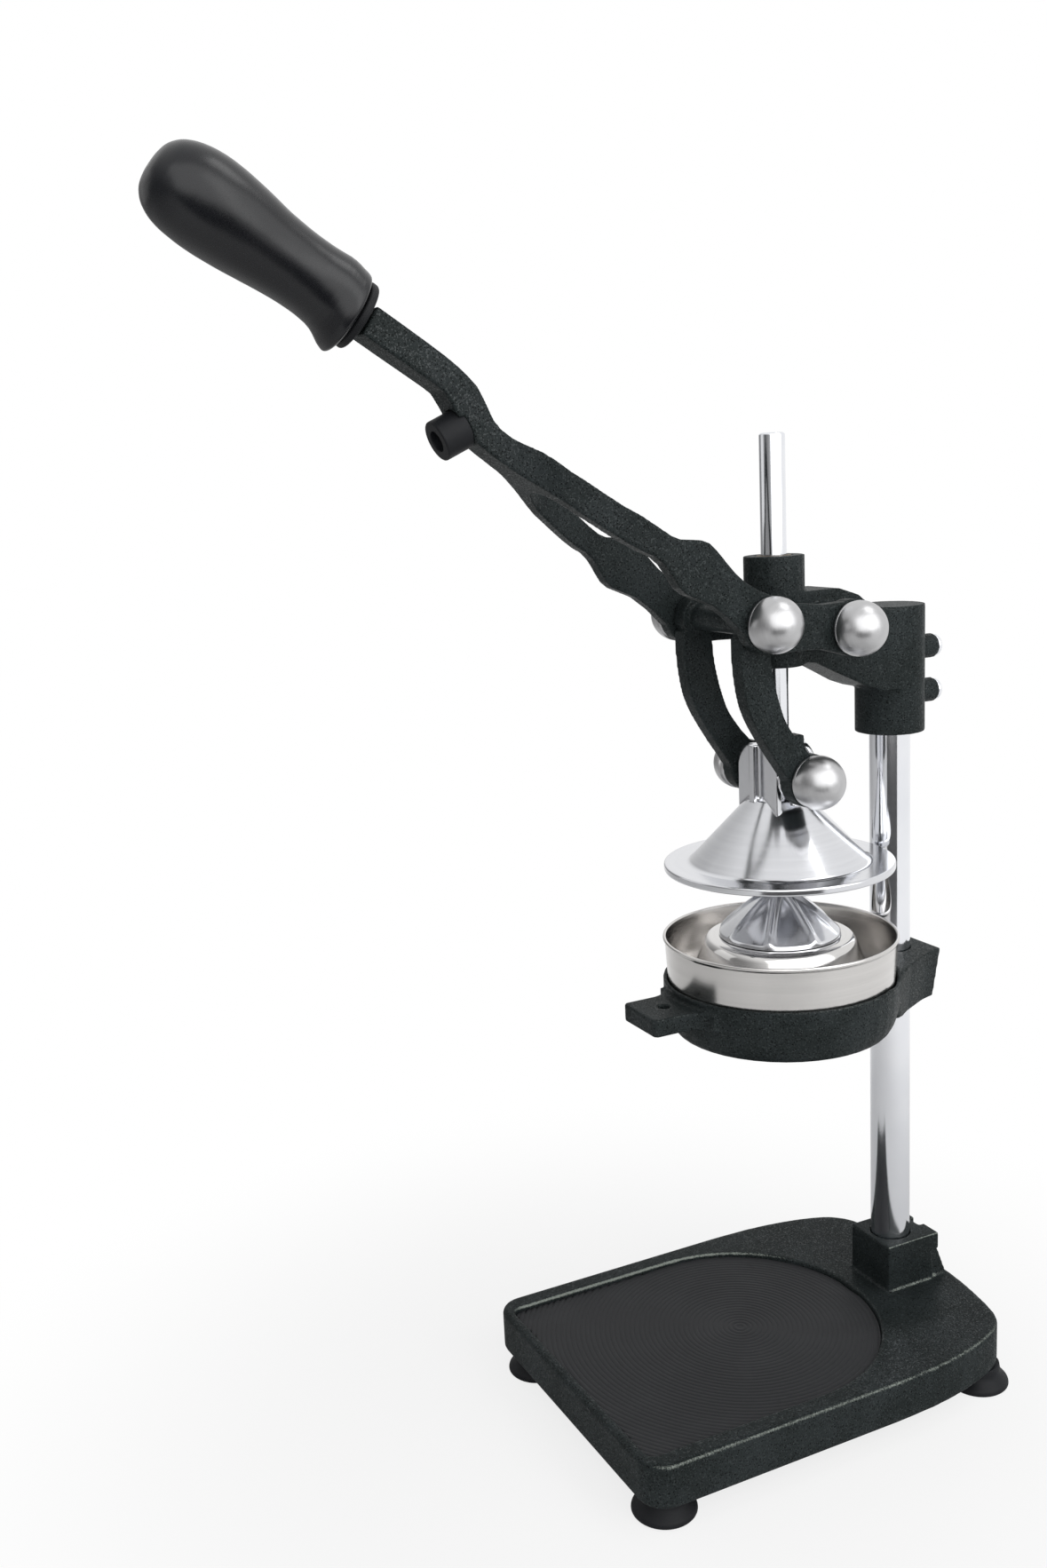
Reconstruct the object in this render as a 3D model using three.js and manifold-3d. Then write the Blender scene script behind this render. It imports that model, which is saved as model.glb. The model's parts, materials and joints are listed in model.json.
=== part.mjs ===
// Lever citrus juice press: a cast base and column carry a press head and a bowl holder.
// A forked hand lever pushes a sliding aluminium bell down over a reamer through a curved yoke.
// Units are millimetres, +Z is up, the user stands at -Y and the column stands behind the bowl.
import * as THREE from 'three';
import { mergeVertices } from 'three/addons/utils/BufferGeometryUtils.js';
import Module from 'manifold-3d';

const wasm = await Module();
wasm.setup();

// Fits shared by many pieces
const seatGap = 0.3;
const bowlSeatGap = 0.7;
const runningGap = 0.2;
const overrun = 2;
const roundSides = 24;
const smallSides = 14;
const largeSides = 44;
const degree = Math.PI / 180;

// Column, and the bowl that stands in front of it
const columnRadius = 10;
const columnFootZ = 20;
const bowlRimRadius = 57;
const bowlColumnGap = 0.4;
const guideRadius = 6;
const guideOffset = bowlRimRadius + bowlColumnGap + columnRadius;
const guideStandOut = 55.6;
const guideChamfer = 0.8;

// Heights of the holder and of the head over it
const holderTopZ = 214;
const headRise = 175.4;
const housingTopZ = holderTopZ + headRise;

// Base casting
const footHeight = 12;
const baseTopZ = 33.4;
const baseHalfWidth = 80.8;
const baseFrontY = -195.4;
const baseTaperY = -62;
const baseRearY = 28.4;
const baseCornerRadius = 13;
const baseEdgeRadius = 1.8;
const baseWall = 6;
const baseDeck = 5;
const recessDepth = 5;
const recessSideWall = 10.8;
const recessFrontWall = 5;
const recessRearY = -25.6;
const recessHalfWidth = baseHalfWidth - recessSideWall;
const recessFrontY = baseFrontY + recessFrontWall;
const recessArcY = recessRearY - recessHalfWidth;
const recessCornerRadius = 5;
const hollowRearY = -26;
const hollowCornerRadius = 10;
// rear outline: share of the half width, share of the way from the taper to the rear edge
const baseRearShares = [
  [1, 0], [0.986, 0.3], [0.936, 0.575], [0.866, 0.765], [0.8, 0.85],
  [0.688, 0.915], [0.401, 0.972], [0.186, 0.994], [0, 1],
];

// Column pedestal on the base, with its rear screw lug
const pedestalHalfWidth = 15.4;
const pedestalTopZ = 58.4;
const pedestalFrontY = -13.4;
const pedestalRearY = 19.6;
const pedestalNotchX = 4;
const pedestalNotchY = 16.2;
const pedestalShelfY = 15.4;
const pedestalShelfZ = 49.6;
const screwLugHalfWidth = 11.5;
const screwLugRearY = 21;
// flare of the lug: share by which its foot is larger than its top
const screwLugFootShare = 1.24;
const setScrewRadius = 3;
const setScrewLength = 7;
const setScrewZ = 45;
const hexKeyRadius = 1.7;
const hexKeyDepth = 3;

// Drip mat in the base recess
const matThickness = 2.5;

// Rubber feet and their screws
const footRadius = 15.2;
const footNeckRadius = 10.5;
const footFrontSideInset = 16.8;
const footFrontInset = 15.4;
const footRearSideInset = 21.8;
const footRearInset = 21.4;
const footFrontX = baseHalfWidth - footFrontSideInset;
const footFrontY = baseFrontY + footFrontInset;
const footRearX = baseHalfWidth - footRearSideInset;
const footRearY = baseRearY - footRearInset;
const footBossRadius = 9;
const footScrewRadius = 2;
const footScrewHeadRadius = 4;
const footScrewHeadHeight = 2.4;
const footScrewTopZ = 21;
const footCounterboreZ = 5.4;
const footCounterboreRadius = 4.6;
// foot profile: share of the foot radius, share of the foot height
const footProfileShares = [[0.93, 0], [1, 0.1], [0.98, 0.26], [0.86, 0.42], [0.74, 0.62]];

// Press head casting
const housingRadius = 16.9;
const housingLength = 62.2;
const housingBottomZ = housingTopZ - housingLength;
const housingCapThickness = 5;
const bossRadius = 14.2;
const bossRise = 28.1;
const bossLength = 51.5;
const bossTopZ = housingTopZ + bossRise;
const bossBottomZ = bossTopZ - bossLength;
const bridgeRise = 11.2;
const bridgeDepth = 50.6;
const bridgeTopZ = housingTopZ + bridgeRise;
const bridgeBottomZ = bridgeTopZ - bridgeDepth;
// bridge outline: share of the way from guide to column, share of the way from underside to top
const bridgeShares = [
  [0, 1], [0.42, 1], [0.56, 0.93], [0.66, 0.82], [0.82, 0.76],
  [1, 0.76], [1, 0], [0.76, 0], [0.63, 0.06], [0.22, 0.33], [0, 0.36],
];
// bridge plan: share of the housing radius, share of the way from column to guide
const bridgePlanShares = [
  [1, 0], [0.985, 0.18], [0.9, 0.38], [0.76, 0.56], [0.71, 0.7], [0.74, 0.86], [0.82, 1],
];
const pivotLugRadius = 10.5;
const clampBossRadius = 6.1;
const clampBossRearY = 26.3;
const clampScrewDrop = 22.5;
const clampScrewPitch = 22;
const clampScrewUpperZ = housingTopZ - clampScrewDrop;
const clampScrewLowerZ = clampScrewUpperZ - clampScrewPitch;
const clampScrewRadius = 2.5;
const clampScrewFrontY = 11;
const domeNutRadius = 5.4;
const domeNutHeight = 4;
const domeNutBand = 1.4;

// Guide bushes in the head
const bushRadius = 8.2;
const bushLength = 12;

// Bowl
const bowlRimRise = 21;
const bowlRimZ = holderTopZ + bowlRimRise;
const bowlWall = 1;
const bowlFlare = 2.2;
const bowlStep = 5.2;
const bowlFloorRound = 4.6;
const bowlNeckRadius = bowlRimRadius - bowlFlare;
const bowlCupRadius = bowlNeckRadius - bowlStep;
const bowlFloorRadius = bowlCupRadius - bowlFloorRound;
const bowlFloorDrop = 21.5;
const bowlFloorZ = holderTopZ - bowlFloorDrop;
const bowlRimRoll = 0.8;
const drainRadius = 9;
const drainLip = 3.1;
const drainLipZ = bowlFloorZ - drainLip;

// Holder casting that clamps on the column and carries the bowl
const holderLipWall = 1.9;
const holderRadius = bowlNeckRadius + bowlSeatGap + holderLipWall;
const holderHeight = 26;
const holderBottomZ = holderTopZ - holderHeight;
const holderCupGap = 0.4;
const holderInnerRadius = bowlCupRadius + holderCupGap;
const holderLedgeDrop = 6.8;
const holderLedgeZ = holderTopZ - holderLedgeDrop;
const holderUnderWall = 1.4;
const holderUnderRadius = holderInnerRadius + holderUnderWall;
// underside curve of the ring: share between the under radius and the full radius, share of the height
const holderCurveShares = [[0.1, 0], [0.45, 0.09], [0.76, 0.27], [0.94, 0.5], [1, 0.72]];
const tabHalfWidth = 15;
const tabReach = 23.4;
const tabFrontY = -guideOffset - holderRadius - tabReach;
const tabDrop = 4;
const tabTopZ = holderTopZ - tabDrop;
const tabThickness = 8.4;
const tabCornerRadius = 3;
const tabBlendRadius = 9;
const tabHoleRadius = 2.9;
const tabHoleInset = 14.2;
const clampHalfWidth = 16.6;
const clampRearY = 18.6;
const clampRise = 1.5;
const clampTopZ = holderTopZ + clampRise;
const clampLength = 25.5;
const clampBottomZ = clampTopZ - clampLength;
const wingHalfWidth = 39;
const wingFrontY = -25.3;
// side of the clamp: share of the way out to the wing's tip, share of the way to the front
const clampSideShares = [
  [0, 0], [0.08, 0.148], [0.169, 0.274], [0.276, 0.384], [0.396, 0.5], [0.564, 0.673],
  [0.778, 0.833], [1, 1],
];
// share of the plan that the clamp's foot keeps
const clampFootShare = 0.85;

// Strainer that stands on the bowl's step, and the reamer cone on it
const strainerWall = 1;
const strainerFlangeGap = 2.8;
const strainerFlangeRadius = bowlNeckRadius - strainerFlangeGap;
const strainerFlangeWidth = 7;
const strainerFootRadius = strainerFlangeRadius - strainerFlangeWidth;
const strainerShoulderInset = 9;
const strainerShoulderRadius = strainerFootRadius - strainerShoulderInset;
const strainerTopDrop = 0.6;
const strainerTopZ = bowlRimZ - strainerTopDrop;
const strainerHoleRadius = 8.3;
// side of the dome: share between the shoulder and the foot radius, share of the height
const strainerSideShares = [[1, 0], [0.62, 0.38], [0.27, 0.74], [0.1, 0.9], [-0.1, 0.98], [-0.45, 1]];
const strainerSlots = 16;
const slotWidth = 2.6;
const slotTopDrop = 11.9;
const slotLength = 11.1;
const slotHighZ = strainerTopZ - slotTopDrop;
const slotLowZ = slotHighZ - slotLength;
const slotInnerRadius = strainerShoulderRadius;
const reamerRadius = 29.5;
const reamerHeight = 23;
const reamerRibs = 8;
const reamerRibWidth = 3;
const reamerRibRise = 2.2;
const spigotLength = 6;
// cone of the reamer: share of its radius, share of its height
const reamerShares = [[1, 0], [0.99, 0.07], [0.8, 0.3], [0.56, 0.56], [0.33, 0.78], [0.12, 0.93], [0, 0.98]];

// Pivots: the fixed pivot in the head, the lever to yoke pin and the yoke to bell pin
const pinRadius = 4;
const pivotInset = 17.7;
const pivotDrop = 4.8;
const pivotY = pivotInset - guideOffset;
const pivotZ = housingTopZ - pivotDrop;
const linkReach = 46;
const linkRise = 5.4;
const linkY = pivotY - linkReach;
const linkZ = pivotZ + linkRise;
const yokeDrop = 75.4;
const bellPinZ = linkZ - yokeDrop;
const pinEndDepth = 6;

// Dome caps on the pin ends
const capRadius = 12.7;
const capSeatRadius = 11.4;
const capRimHeight = 2.1;
const capGrooveDepth = 0.8;
const capGrooveWidth = 0.7;
const capHoleDepth = 6.6;
const capHeight = 16.7;

// Lever casting: side view points are shares of the lever reach, forward and up from the pivot
const leverReach = 215;
const leverTopShares = [
  [0.971, 0.665], [0.896, 0.614], [0.842, 0.576], [0.81, 0.55], [0.78, 0.52], [0.762, 0.486],
  [0.748, 0.455], [0.726, 0.43], [0.69, 0.407], [0.654, 0.385], [0.622, 0.354], [0.586, 0.326],
  [0.536, 0.287], [0.486, 0.254], [0.444, 0.222], [0.415, 0.209], [0.378, 0.207], [0.349, 0.197],
  [0.325, 0.172], [0.29, 0.133], [0.25, 0.103], [0.195, 0.08], [0.107, 0.056], [0.02, 0.056],
];
const leverUnderShares = [
  [1.003, 0.616], [0.941, 0.574], [0.872, 0.528], [0.845, 0.507], [0.825, 0.47], [0.8, 0.43],
  [0.775, 0.404], [0.735, 0.374], [0.692, 0.342], [0.642, 0.303], [0.605, 0.27], [0.567, 0.242],
  [0.53, 0.214], [0.493, 0.19], [0.462, 0.173], [0.439, 0.141], [0.417, 0.108], [0.393, 0.094],
  [0.347, 0.074], [0.292, 0.03], [0.25, -0.014], [0.186, -0.04], [0.107, -0.034], [0.02, -0.056],
];
const leverHalfWidth = 36.3;
const leverWebHalfHeight = 7;
const prongThickness = 7.7;
// plan view: share of the reach, share of the half width
const forkOuterShares = [
  [1.05, 0.22], [0.75, 0.22], [0.7, 0.27], [0.66, 0.42], [0.632, 0.55], [0.605, 0.647],
  [0.567, 0.744], [0.53, 0.826], [0.493, 0.909], [0.456, 0.975], [0.42, 1], [0.36, 1], [-0.1, 1],
];
const forkInnerShares = [
  [0.653, 0], [0.646, 0.16], [0.63, 0.3], [0.605, 0.42], [0.567, 0.517], [0.53, 0.6],
  [0.493, 0.682], [0.456, 0.75], [0.42, 0.782], [0.36, 0.788], [-0.1, 0.788],
];
const eyeRadius = 13;
const tangRadius = 5;
const tangLength = 66;

// Grip, its collar and the rubber bumper of the lever
const gripAngle = 37.2 * degree;
// start of the grip and tip of the bumper: shares of the lever reach, forward and up
const gripStartShares = [1.0172, 0.653];
const bumperTipShares = [0.855, 0.419];
const [gripStartForward, gripStartUp] = gripStartShares.map((share) => share * leverReach);
const [bumperTipForward, bumperTipUp] = bumperTipShares.map((share) => share * leverReach);
const gripLength = 92.5;
const gripRadius = 19.7;
// grip profile: share of the grip length, share of the largest radius
const gripShares = [
  [0, 0.85], [0.012, 0.89], [0.05, 0.885], [0.12, 0.84], [0.2, 0.805], [0.28, 0.81], [0.38, 0.845],
  [0.5, 0.905], [0.62, 0.965], [0.72, 1], [0.8, 0.985], [0.87, 0.9], [0.93, 0.74], [0.975, 0.48],
  [0.995, 0.2], [1, 0],
];
const collarRadius = 14.2;
const collarThickness = 3.6;
const bumperAngle = -24 * degree;
const bumperRadius = 8.7;
const bumperLength = 13;
const bumperBoreRadius = 4.6;
const bumperBoreDepth = 6.5;
const bumperSeatLength = 6;
const bumperScrewRadius = 2;
const bumperScrewLength = 8.5;
const bumperScrewHead = 2.6;

// Yoke: two curved arms on a hub tube
const armInnerX = 19.5;
const armOuterX = 28;
// edges of an arm: shares of the way from the lever pin to the bell pin, back and down
const armFrontShares = [
  [-0.34, 0.08], [-0.337, 0.19], [-0.322, 0.28], [-0.28, 0.4], [-0.2, 0.52], [-0.067, 0.626],
  [0.09, 0.724], [0.26, 0.822], [0.445, 0.92], [0.62, 1.02],
];
const armRearShares = [
  [0.205, 0.08], [0.226, 0.186], [0.24, 0.25], [0.28, 0.342], [0.357, 0.46], [0.466, 0.581],
  [0.552, 0.642], [0.66, 0.7], [0.83, 0.78], [1.1, 0.88],
];
const armSteps = 14;
const hubRadius = 6.2;
const yokeEyeRadius = 9.6;
const yokeFootRadius = 12.6;
// rear lug of the right arm: height of its end face, then shares as for the edges
const armLugTopShares = [[0.6, 0.703], [0.852, 0.703]];
const armLugFaceHeight = 4.8;
const armLugFootShare = 0.88;

// Press bell on the guide rod
const bellOverlap = 0.5;
const bellRadius = bowlNeckRadius + bellOverlap;
const bellTopDrop = 42.9;
const bellTopZ = bellPinZ - bellTopDrop;
const bellFlangeThickness = 3.4;
const bellConeRadius = 42.6;
const bellConeTopRadius = 13.5;
const bellConeHeight = 31.3;
const bellConeTopZ = bellTopZ + bellConeHeight;
const bellWall = 3.6;
const bellCavityHeight = 22.3;
const bellCavityTopZ = bellTopZ + bellCavityHeight;
const neckHalfWidth = 15.8;
const neckHalfDepth = 11.8;
const neckPlate = 3.2;
const neckRibThickness = 4;
const neckRibReach = 3.2;
const neckRise = 14.9;
const neckTopZ = bellPinZ + neckRise;
const neckCornerRadius = 12;
const neckCoreRadius = 9.6;
const neckBossRadius = 10.4;
const neckBossX = 18.8;
const pinSlotReach = 3.2;
const pinSlotRise = 0.7;
const guideSeatRise = 6.8;
const guideSeatZ = bellPinZ + guideSeatRise;
const guideTopZ = bossTopZ + guideStandOut;

// Paints and metals
const finish = {
  castPaint: ['#1d2421', 0.5, 0.2],
  blackRubber: ['#15161a', 0.62, 0],
  chrome: ['#d4d6d9', 0.12, 1],
  brushedSteel: ['#b9b6b1', 0.32, 1],
  polishedAluminium: ['#c9cbcd', 0.25, 1],
  bronze: ['#a8814c', 0.4, 1],
  zincSteel: ['#9ea1a3', 0.38, 1],
};

// Turns a three.js geometry into a solid for joining and cutting.
function solid(geometry) {
  const bare = new THREE.BufferGeometry();
  bare.setAttribute('position', geometry.getAttribute('position').clone());
  if (geometry.index) bare.setIndex(geometry.index.clone());
  const merged = mergeVertices(bare, 1e-4);
  const index = merged.index.array;
  const kept = [];
  for (let i = 0; i < index.length; i += 3) {
    const [a, b, c] = [index[i], index[i + 1], index[i + 2]];
    if (a !== b && b !== c && c !== a) kept.push(a, b, c);
  }
  return new wasm.Manifold(new wasm.Mesh({
    numProp: 3,
    vertProperties: new Float32Array(merged.attributes.position.array),
    triVerts: new Uint32Array(kept),
  }));
}

function join(...solids) {
  return solids.reduce((whole, next) => whole.add(next));
}

function cut(body, ...tools) {
  return tools.reduce((whole, tool) => whole.subtract(tool), body);
}

function geometryOf(body) {
  const mesh = body.getMesh();
  const geometry = new THREE.BufferGeometry();
  geometry.setAttribute('position', new THREE.BufferAttribute(new Float32Array(mesh.vertProperties), 3));
  geometry.setIndex(new THREE.BufferAttribute(new Uint32Array(mesh.triVerts), 1));
  geometry.computeVertexNormals();
  return geometry;
}

function piece(name, [color, roughness, metalness], body) {
  const material = new THREE.MeshStandardMaterial({ color, roughness, metalness });
  const mesh = new THREE.Mesh(geometryOf(body), material);
  mesh.name = name;
  return mesh;
}

// Round bars along the three axes, from one end to the other.
function barZ(radius, lowZ, highZ, x = 0, y = 0, sides = roundSides) {
  const bar = new THREE.CylinderGeometry(radius, radius, highZ - lowZ, sides);
  bar.rotateX(Math.PI / 2);
  bar.translate(x, y, (lowZ + highZ) / 2);
  return solid(bar);
}

function barX(radius, lowX, highX, y = 0, z = 0, sides = roundSides) {
  const bar = new THREE.CylinderGeometry(radius, radius, highX - lowX, sides);
  bar.rotateZ(Math.PI / 2);
  bar.translate((lowX + highX) / 2, y, z);
  return solid(bar);
}

function barY(radius, lowY, highY, x = 0, z = 0, sides = roundSides) {
  const bar = new THREE.CylinderGeometry(radius, radius, highY - lowY, sides);
  bar.translate(x, (lowY + highY) / 2, z);
  return solid(bar);
}

function box(lowX, highX, lowY, highY, lowZ, highZ) {
  const block = new THREE.BoxGeometry(highX - lowX, highY - lowY, highZ - lowZ);
  block.translate((lowX + highX) / 2, (lowY + highY) / 2, (lowZ + highZ) / 2);
  return solid(block);
}

// A body turned about Z from [radius, height] points, listed from the bottom round the outside.
function turned(points, sides = roundSides, x = 0, y = 0) {
  const profile = points.map(([radius, height]) => new THREE.Vector2(radius, height));
  const lathe = new THREE.LatheGeometry(profile, sides);
  lathe.rotateX(Math.PI / 2);
  lathe.translate(x, y, 0);
  return solid(lathe);
}

// A plan outline raised from one height to another.
function raised(shape, lowZ, highZ, curveSegments = 12) {
  const plate = new THREE.ExtrudeGeometry(shape, { depth: highZ - lowZ, bevelEnabled: false, curveSegments });
  plate.translate(0, 0, lowZ);
  return solid(plate);
}

// A plan outline raised from one height to another whose foot is wider or narrower by a share.
function drafted(shape, lowZ, highZ, footShare) {
  const plate = new THREE.ExtrudeGeometry(shape, { depth: highZ - lowZ, bevelEnabled: false });
  const place = plate.getAttribute('position');
  for (let i = 0; i < place.count; i += 1) {
    if (place.getZ(i) === 0) place.setXY(i, place.getX(i) * footShare, place.getY(i) * footShare);
  }
  plate.translate(0, 0, lowZ);
  return solid(plate);
}

// A side outline in [y, z] made as thick as the stretch from lowX to highX.
function sidePlate(points, lowX, highX) {
  const shape = new THREE.Shape(points.map(([y, z]) => new THREE.Vector2(y, z)));
  const plate = new THREE.ExtrudeGeometry(shape, { depth: highX - lowX, bevelEnabled: false });
  plate.translate(0, 0, lowX);
  plate.applyMatrix4(new THREE.Matrix4().makeBasis(
    new THREE.Vector3(0, 1, 0), new THREE.Vector3(0, 0, 1), new THREE.Vector3(1, 0, 0)));
  return solid(plate);
}

function smooth(points, steps) {
  const curve = new THREE.SplineCurve(points.map(([x, y]) => new THREE.Vector2(x, y)));
  return curve.getPoints(steps).map((point) => [point.x, point.y]);
}

function mirrored(points) {
  return points.concat(points.slice().reverse().map(([x, y]) => [-x, y]));
}

function shapeOf(points) {
  return new THREE.Shape(points.map(([x, y]) => new THREE.Vector2(x, y)));
}

// Quarter arc points from one angle to the next round a corner centre.
function arc(centreX, centreY, radius, from, to, steps = 6) {
  const points = [];
  for (let i = 0; i <= steps; i += 1) {
    const angle = from + (to - from) * (i / steps);
    points.push([centreX + radius * Math.cos(angle), centreY + radius * Math.sin(angle)]);
  }
  return points;
}

// Base plan: straight sides, round front corners and a drawn-in round rear.
function baseOutline(inset) {
  const halfWidth = baseHalfWidth - inset;
  const front = baseFrontY + inset;
  const radius = baseCornerRadius - inset;
  const rear = baseRearY - inset;
  const corner = arc(halfWidth - radius, front + radius, radius, -Math.PI / 2, 0);
  const taper = smooth(baseRearShares.map(([across, along]) => [
    across * halfWidth, baseTaperY + along * (rear - baseTaperY)]), 18);
  return mirrored(corner.concat(taper.slice(0, -1)));
}

// The recess and the mat: a rectangle whose rear end is a half circle.
function dripOutline(inset) {
  const radius = recessHalfWidth - inset;
  const front = recessFrontY + inset;
  const corner = arc(radius - recessCornerRadius, front + recessCornerRadius, recessCornerRadius,
    -Math.PI / 2, 0, 4);
  const sweep = arc(0, recessArcY, radius, 0, Math.PI / 2, 12);
  return mirrored(corner.concat(sweep.slice(0, -1)));
}

function hollowOutline() {
  const halfWidth = baseHalfWidth - baseWall;
  const front = baseFrontY + baseWall;
  const frontCorner = arc(halfWidth - hollowCornerRadius, front + hollowCornerRadius, hollowCornerRadius,
    -Math.PI / 2, 0, 4);
  const rearCorner = arc(halfWidth - hollowCornerRadius, hollowRearY - hollowCornerRadius,
    hollowCornerRadius, 0, Math.PI / 2, 4);
  return mirrored(frontCorner.concat(rearCorner));
}

const footPlaces = [
  ['front_right', footFrontX, footFrontY],
  ['front_left', -footFrontX, footFrontY],
  ['rear_right', footRearX, footRearY],
  ['rear_left', -footRearX, footRearY],
];

function baseSlab() {
  const outline = shapeOf(baseOutline(baseEdgeRadius));
  const slab = new THREE.ExtrudeGeometry(outline, {
    depth: baseTopZ - footHeight - 2 * baseEdgeRadius,
    bevelEnabled: true,
    bevelThickness: baseEdgeRadius,
    bevelSize: baseEdgeRadius,
    bevelSegments: 2,
  });
  slab.translate(0, 0, footHeight + baseEdgeRadius);
  return solid(slab);
}

function pedestal() {
  const low = baseTopZ - recessDepth;
  const plan = shapeOf([
    [-pedestalHalfWidth, pedestalFrontY], [pedestalHalfWidth, pedestalFrontY],
    [pedestalHalfWidth, pedestalRearY], [pedestalNotchX, pedestalRearY],
    [pedestalNotchX, pedestalNotchY], [-pedestalNotchX, pedestalNotchY],
    [-pedestalNotchX, pedestalRearY], [-pedestalHalfWidth, pedestalRearY]]);
  const block = box(-pedestalHalfWidth, pedestalHalfWidth, pedestalFrontY, pedestalShelfY, low,
    pedestalTopZ);
  const lugPlan = shapeOf([[-screwLugHalfWidth, 0], [screwLugHalfWidth, 0],
    [screwLugHalfWidth, screwLugRearY], [-screwLugHalfWidth, screwLugRearY]]);
  const lug = drafted(lugPlan, baseTopZ - baseEdgeRadius / 2, pedestalShelfZ + seatGap,
    screwLugFootShare);
  return join(block, raised(plan, pedestalShelfZ, pedestalTopZ), lug);
}

function baseCasting() {
  const hollowTopZ = baseTopZ - recessDepth - baseDeck;
  let hollow = raised(shapeOf(hollowOutline()), footHeight - overrun, hollowTopZ);
  for (const [, x, y] of footPlaces) {
    hollow = cut(hollow, barZ(footBossRadius, footHeight - 2 * overrun, hollowTopZ + overrun, x, y));
  }
  const recess = raised(shapeOf(dripOutline(0)), baseTopZ - recessDepth, baseTopZ + overrun);
  let casting = cut(join(cut(baseSlab(), recess), pedestal()), hollow);
  const columnHole = barZ(columnRadius + seatGap, columnFootZ - seatGap, pedestalTopZ + overrun);
  casting = cut(casting, columnHole,
    barY(setScrewRadius + seatGap, 0, pedestalRearY + screwLugRearY, 0, setScrewZ, smallSides));
  for (const [, x, y] of footPlaces) {
    casting = cut(casting, barZ(footScrewRadius + seatGap, footHeight - overrun,
      footScrewTopZ + seatGap, x, y, smallSides));
  }
  return piece('base_casting', finish.castPaint, casting);
}

function dripMat() {
  const low = baseTopZ - recessDepth + seatGap;
  return piece('drip_mat', finish.blackRubber,
    raised(shapeOf(dripOutline(seatGap)), low, low + matThickness));
}

function foot(place) {
  const height = footHeight - seatGap;
  const profile = [[0, 0], ...footProfileShares.map(([out, up]) => [out * footRadius, up * height]),
    [footNeckRadius, height], [0, height]];
  const body = cut(turned(profile),
    barZ(footCounterboreRadius, -overrun, footCounterboreZ, 0, 0, smallSides),
    barZ(footScrewRadius + seatGap, 0, footHeight + overrun, 0, 0, smallSides));
  return piece(`foot_${place}`, finish.blackRubber, body);
}

function footScrew(place) {
  const headTop = footCounterboreZ - seatGap;
  const body = join(
    barZ(footScrewHeadRadius, headTop - footScrewHeadHeight, headTop, 0, 0, smallSides),
    barZ(footScrewRadius, headTop - footScrewHeadHeight / 2, footScrewTopZ, 0, 0, smallSides));
  return piece(`foot_screw_${place}`, finish.zincSteel, body);
}

function column() {
  const top = housingTopZ - housingCapThickness - seatGap;
  return piece('column', finish.chrome, barZ(columnRadius, columnFootZ, top, 0, 0, largeSides));
}

// A set screw lies along Y with its point against the column and a hexagon socket outside.
function setScrew(name, tipY, z) {
  const body = cut(barY(setScrewRadius, tipY, tipY + setScrewLength, 0, z, smallSides),
    barY(hexKeyRadius, tipY + setScrewLength - hexKeyDepth, tipY + setScrewLength + overrun, 0, z, 6));
  return piece(name, finish.zincSteel, body);
}

function headCasting() {
  const bridgeSide = sidePlate(bridgeShares.map(([along, up]) => [
    -guideOffset * (1 - along), bridgeBottomZ + up * (bridgeTopZ - bridgeBottomZ)]).reverse(),
  -housingRadius - overrun, housingRadius + overrun);
  const plan = smooth(bridgePlanShares.map(([across, along]) => [
    across * housingRadius, -along * guideOffset]), 10);
  const bridge = bridgeSide.intersect(raised(shapeOf(mirrored(plan.reverse())),
    bridgeBottomZ - overrun, bridgeTopZ + overrun));
  const lugReach = leverHalfWidth - prongThickness - seatGap;
  let casting = join(
    barZ(housingRadius, housingBottomZ, housingTopZ, 0, 0, largeSides),
    barZ(bossRadius, bossBottomZ, bossTopZ, 0, -guideOffset, roundSides),
    bridge,
    barX(pivotLugRadius, -lugReach, lugReach, pivotY, pivotZ),
    barY(clampBossRadius, 0, clampBossRearY, 0, clampScrewUpperZ, smallSides),
    barY(clampBossRadius, 0, clampBossRearY, 0, clampScrewLowerZ, smallSides));
  casting = cut(casting,
    barZ(columnRadius + seatGap, housingBottomZ - overrun, housingTopZ - housingCapThickness, 0, 0,
      largeSides),
    barZ(guideRadius + seatGap * 2, bossBottomZ - overrun, bossTopZ + overrun, 0, -guideOffset),
    barZ(bushRadius + seatGap, bossBottomZ - overrun, bossBottomZ + bushLength, 0, -guideOffset),
    barZ(bushRadius + seatGap, bossTopZ - bushLength, bossTopZ + overrun, 0, -guideOffset),
    barX(pinRadius + seatGap, -lugReach - overrun, lugReach + overrun, pivotY, pivotZ, smallSides),
    barY(clampScrewRadius + seatGap, 0, clampBossRearY + overrun, 0, clampScrewUpperZ, smallSides),
    barY(clampScrewRadius + seatGap, 0, clampBossRearY + overrun, 0, clampScrewLowerZ, smallSides));
  return piece('head_casting', finish.castPaint, casting);
}

function guideBush(name, lowZ) {
  const length = bushLength - seatGap;
  const inner = guideRadius + runningGap;
  return piece(name, finish.bronze, turned([[inner, lowZ], [bushRadius, lowZ],
    [bushRadius, lowZ + length], [inner, lowZ + length], [inner, lowZ]], roundSides, 0, -guideOffset));
}

function clampScrew(name, z) {
  return piece(name, finish.zincSteel,
    barY(clampScrewRadius, clampScrewFrontY, clampBossRearY + domeNutHeight / 2, 0, z, smallSides));
}

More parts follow.
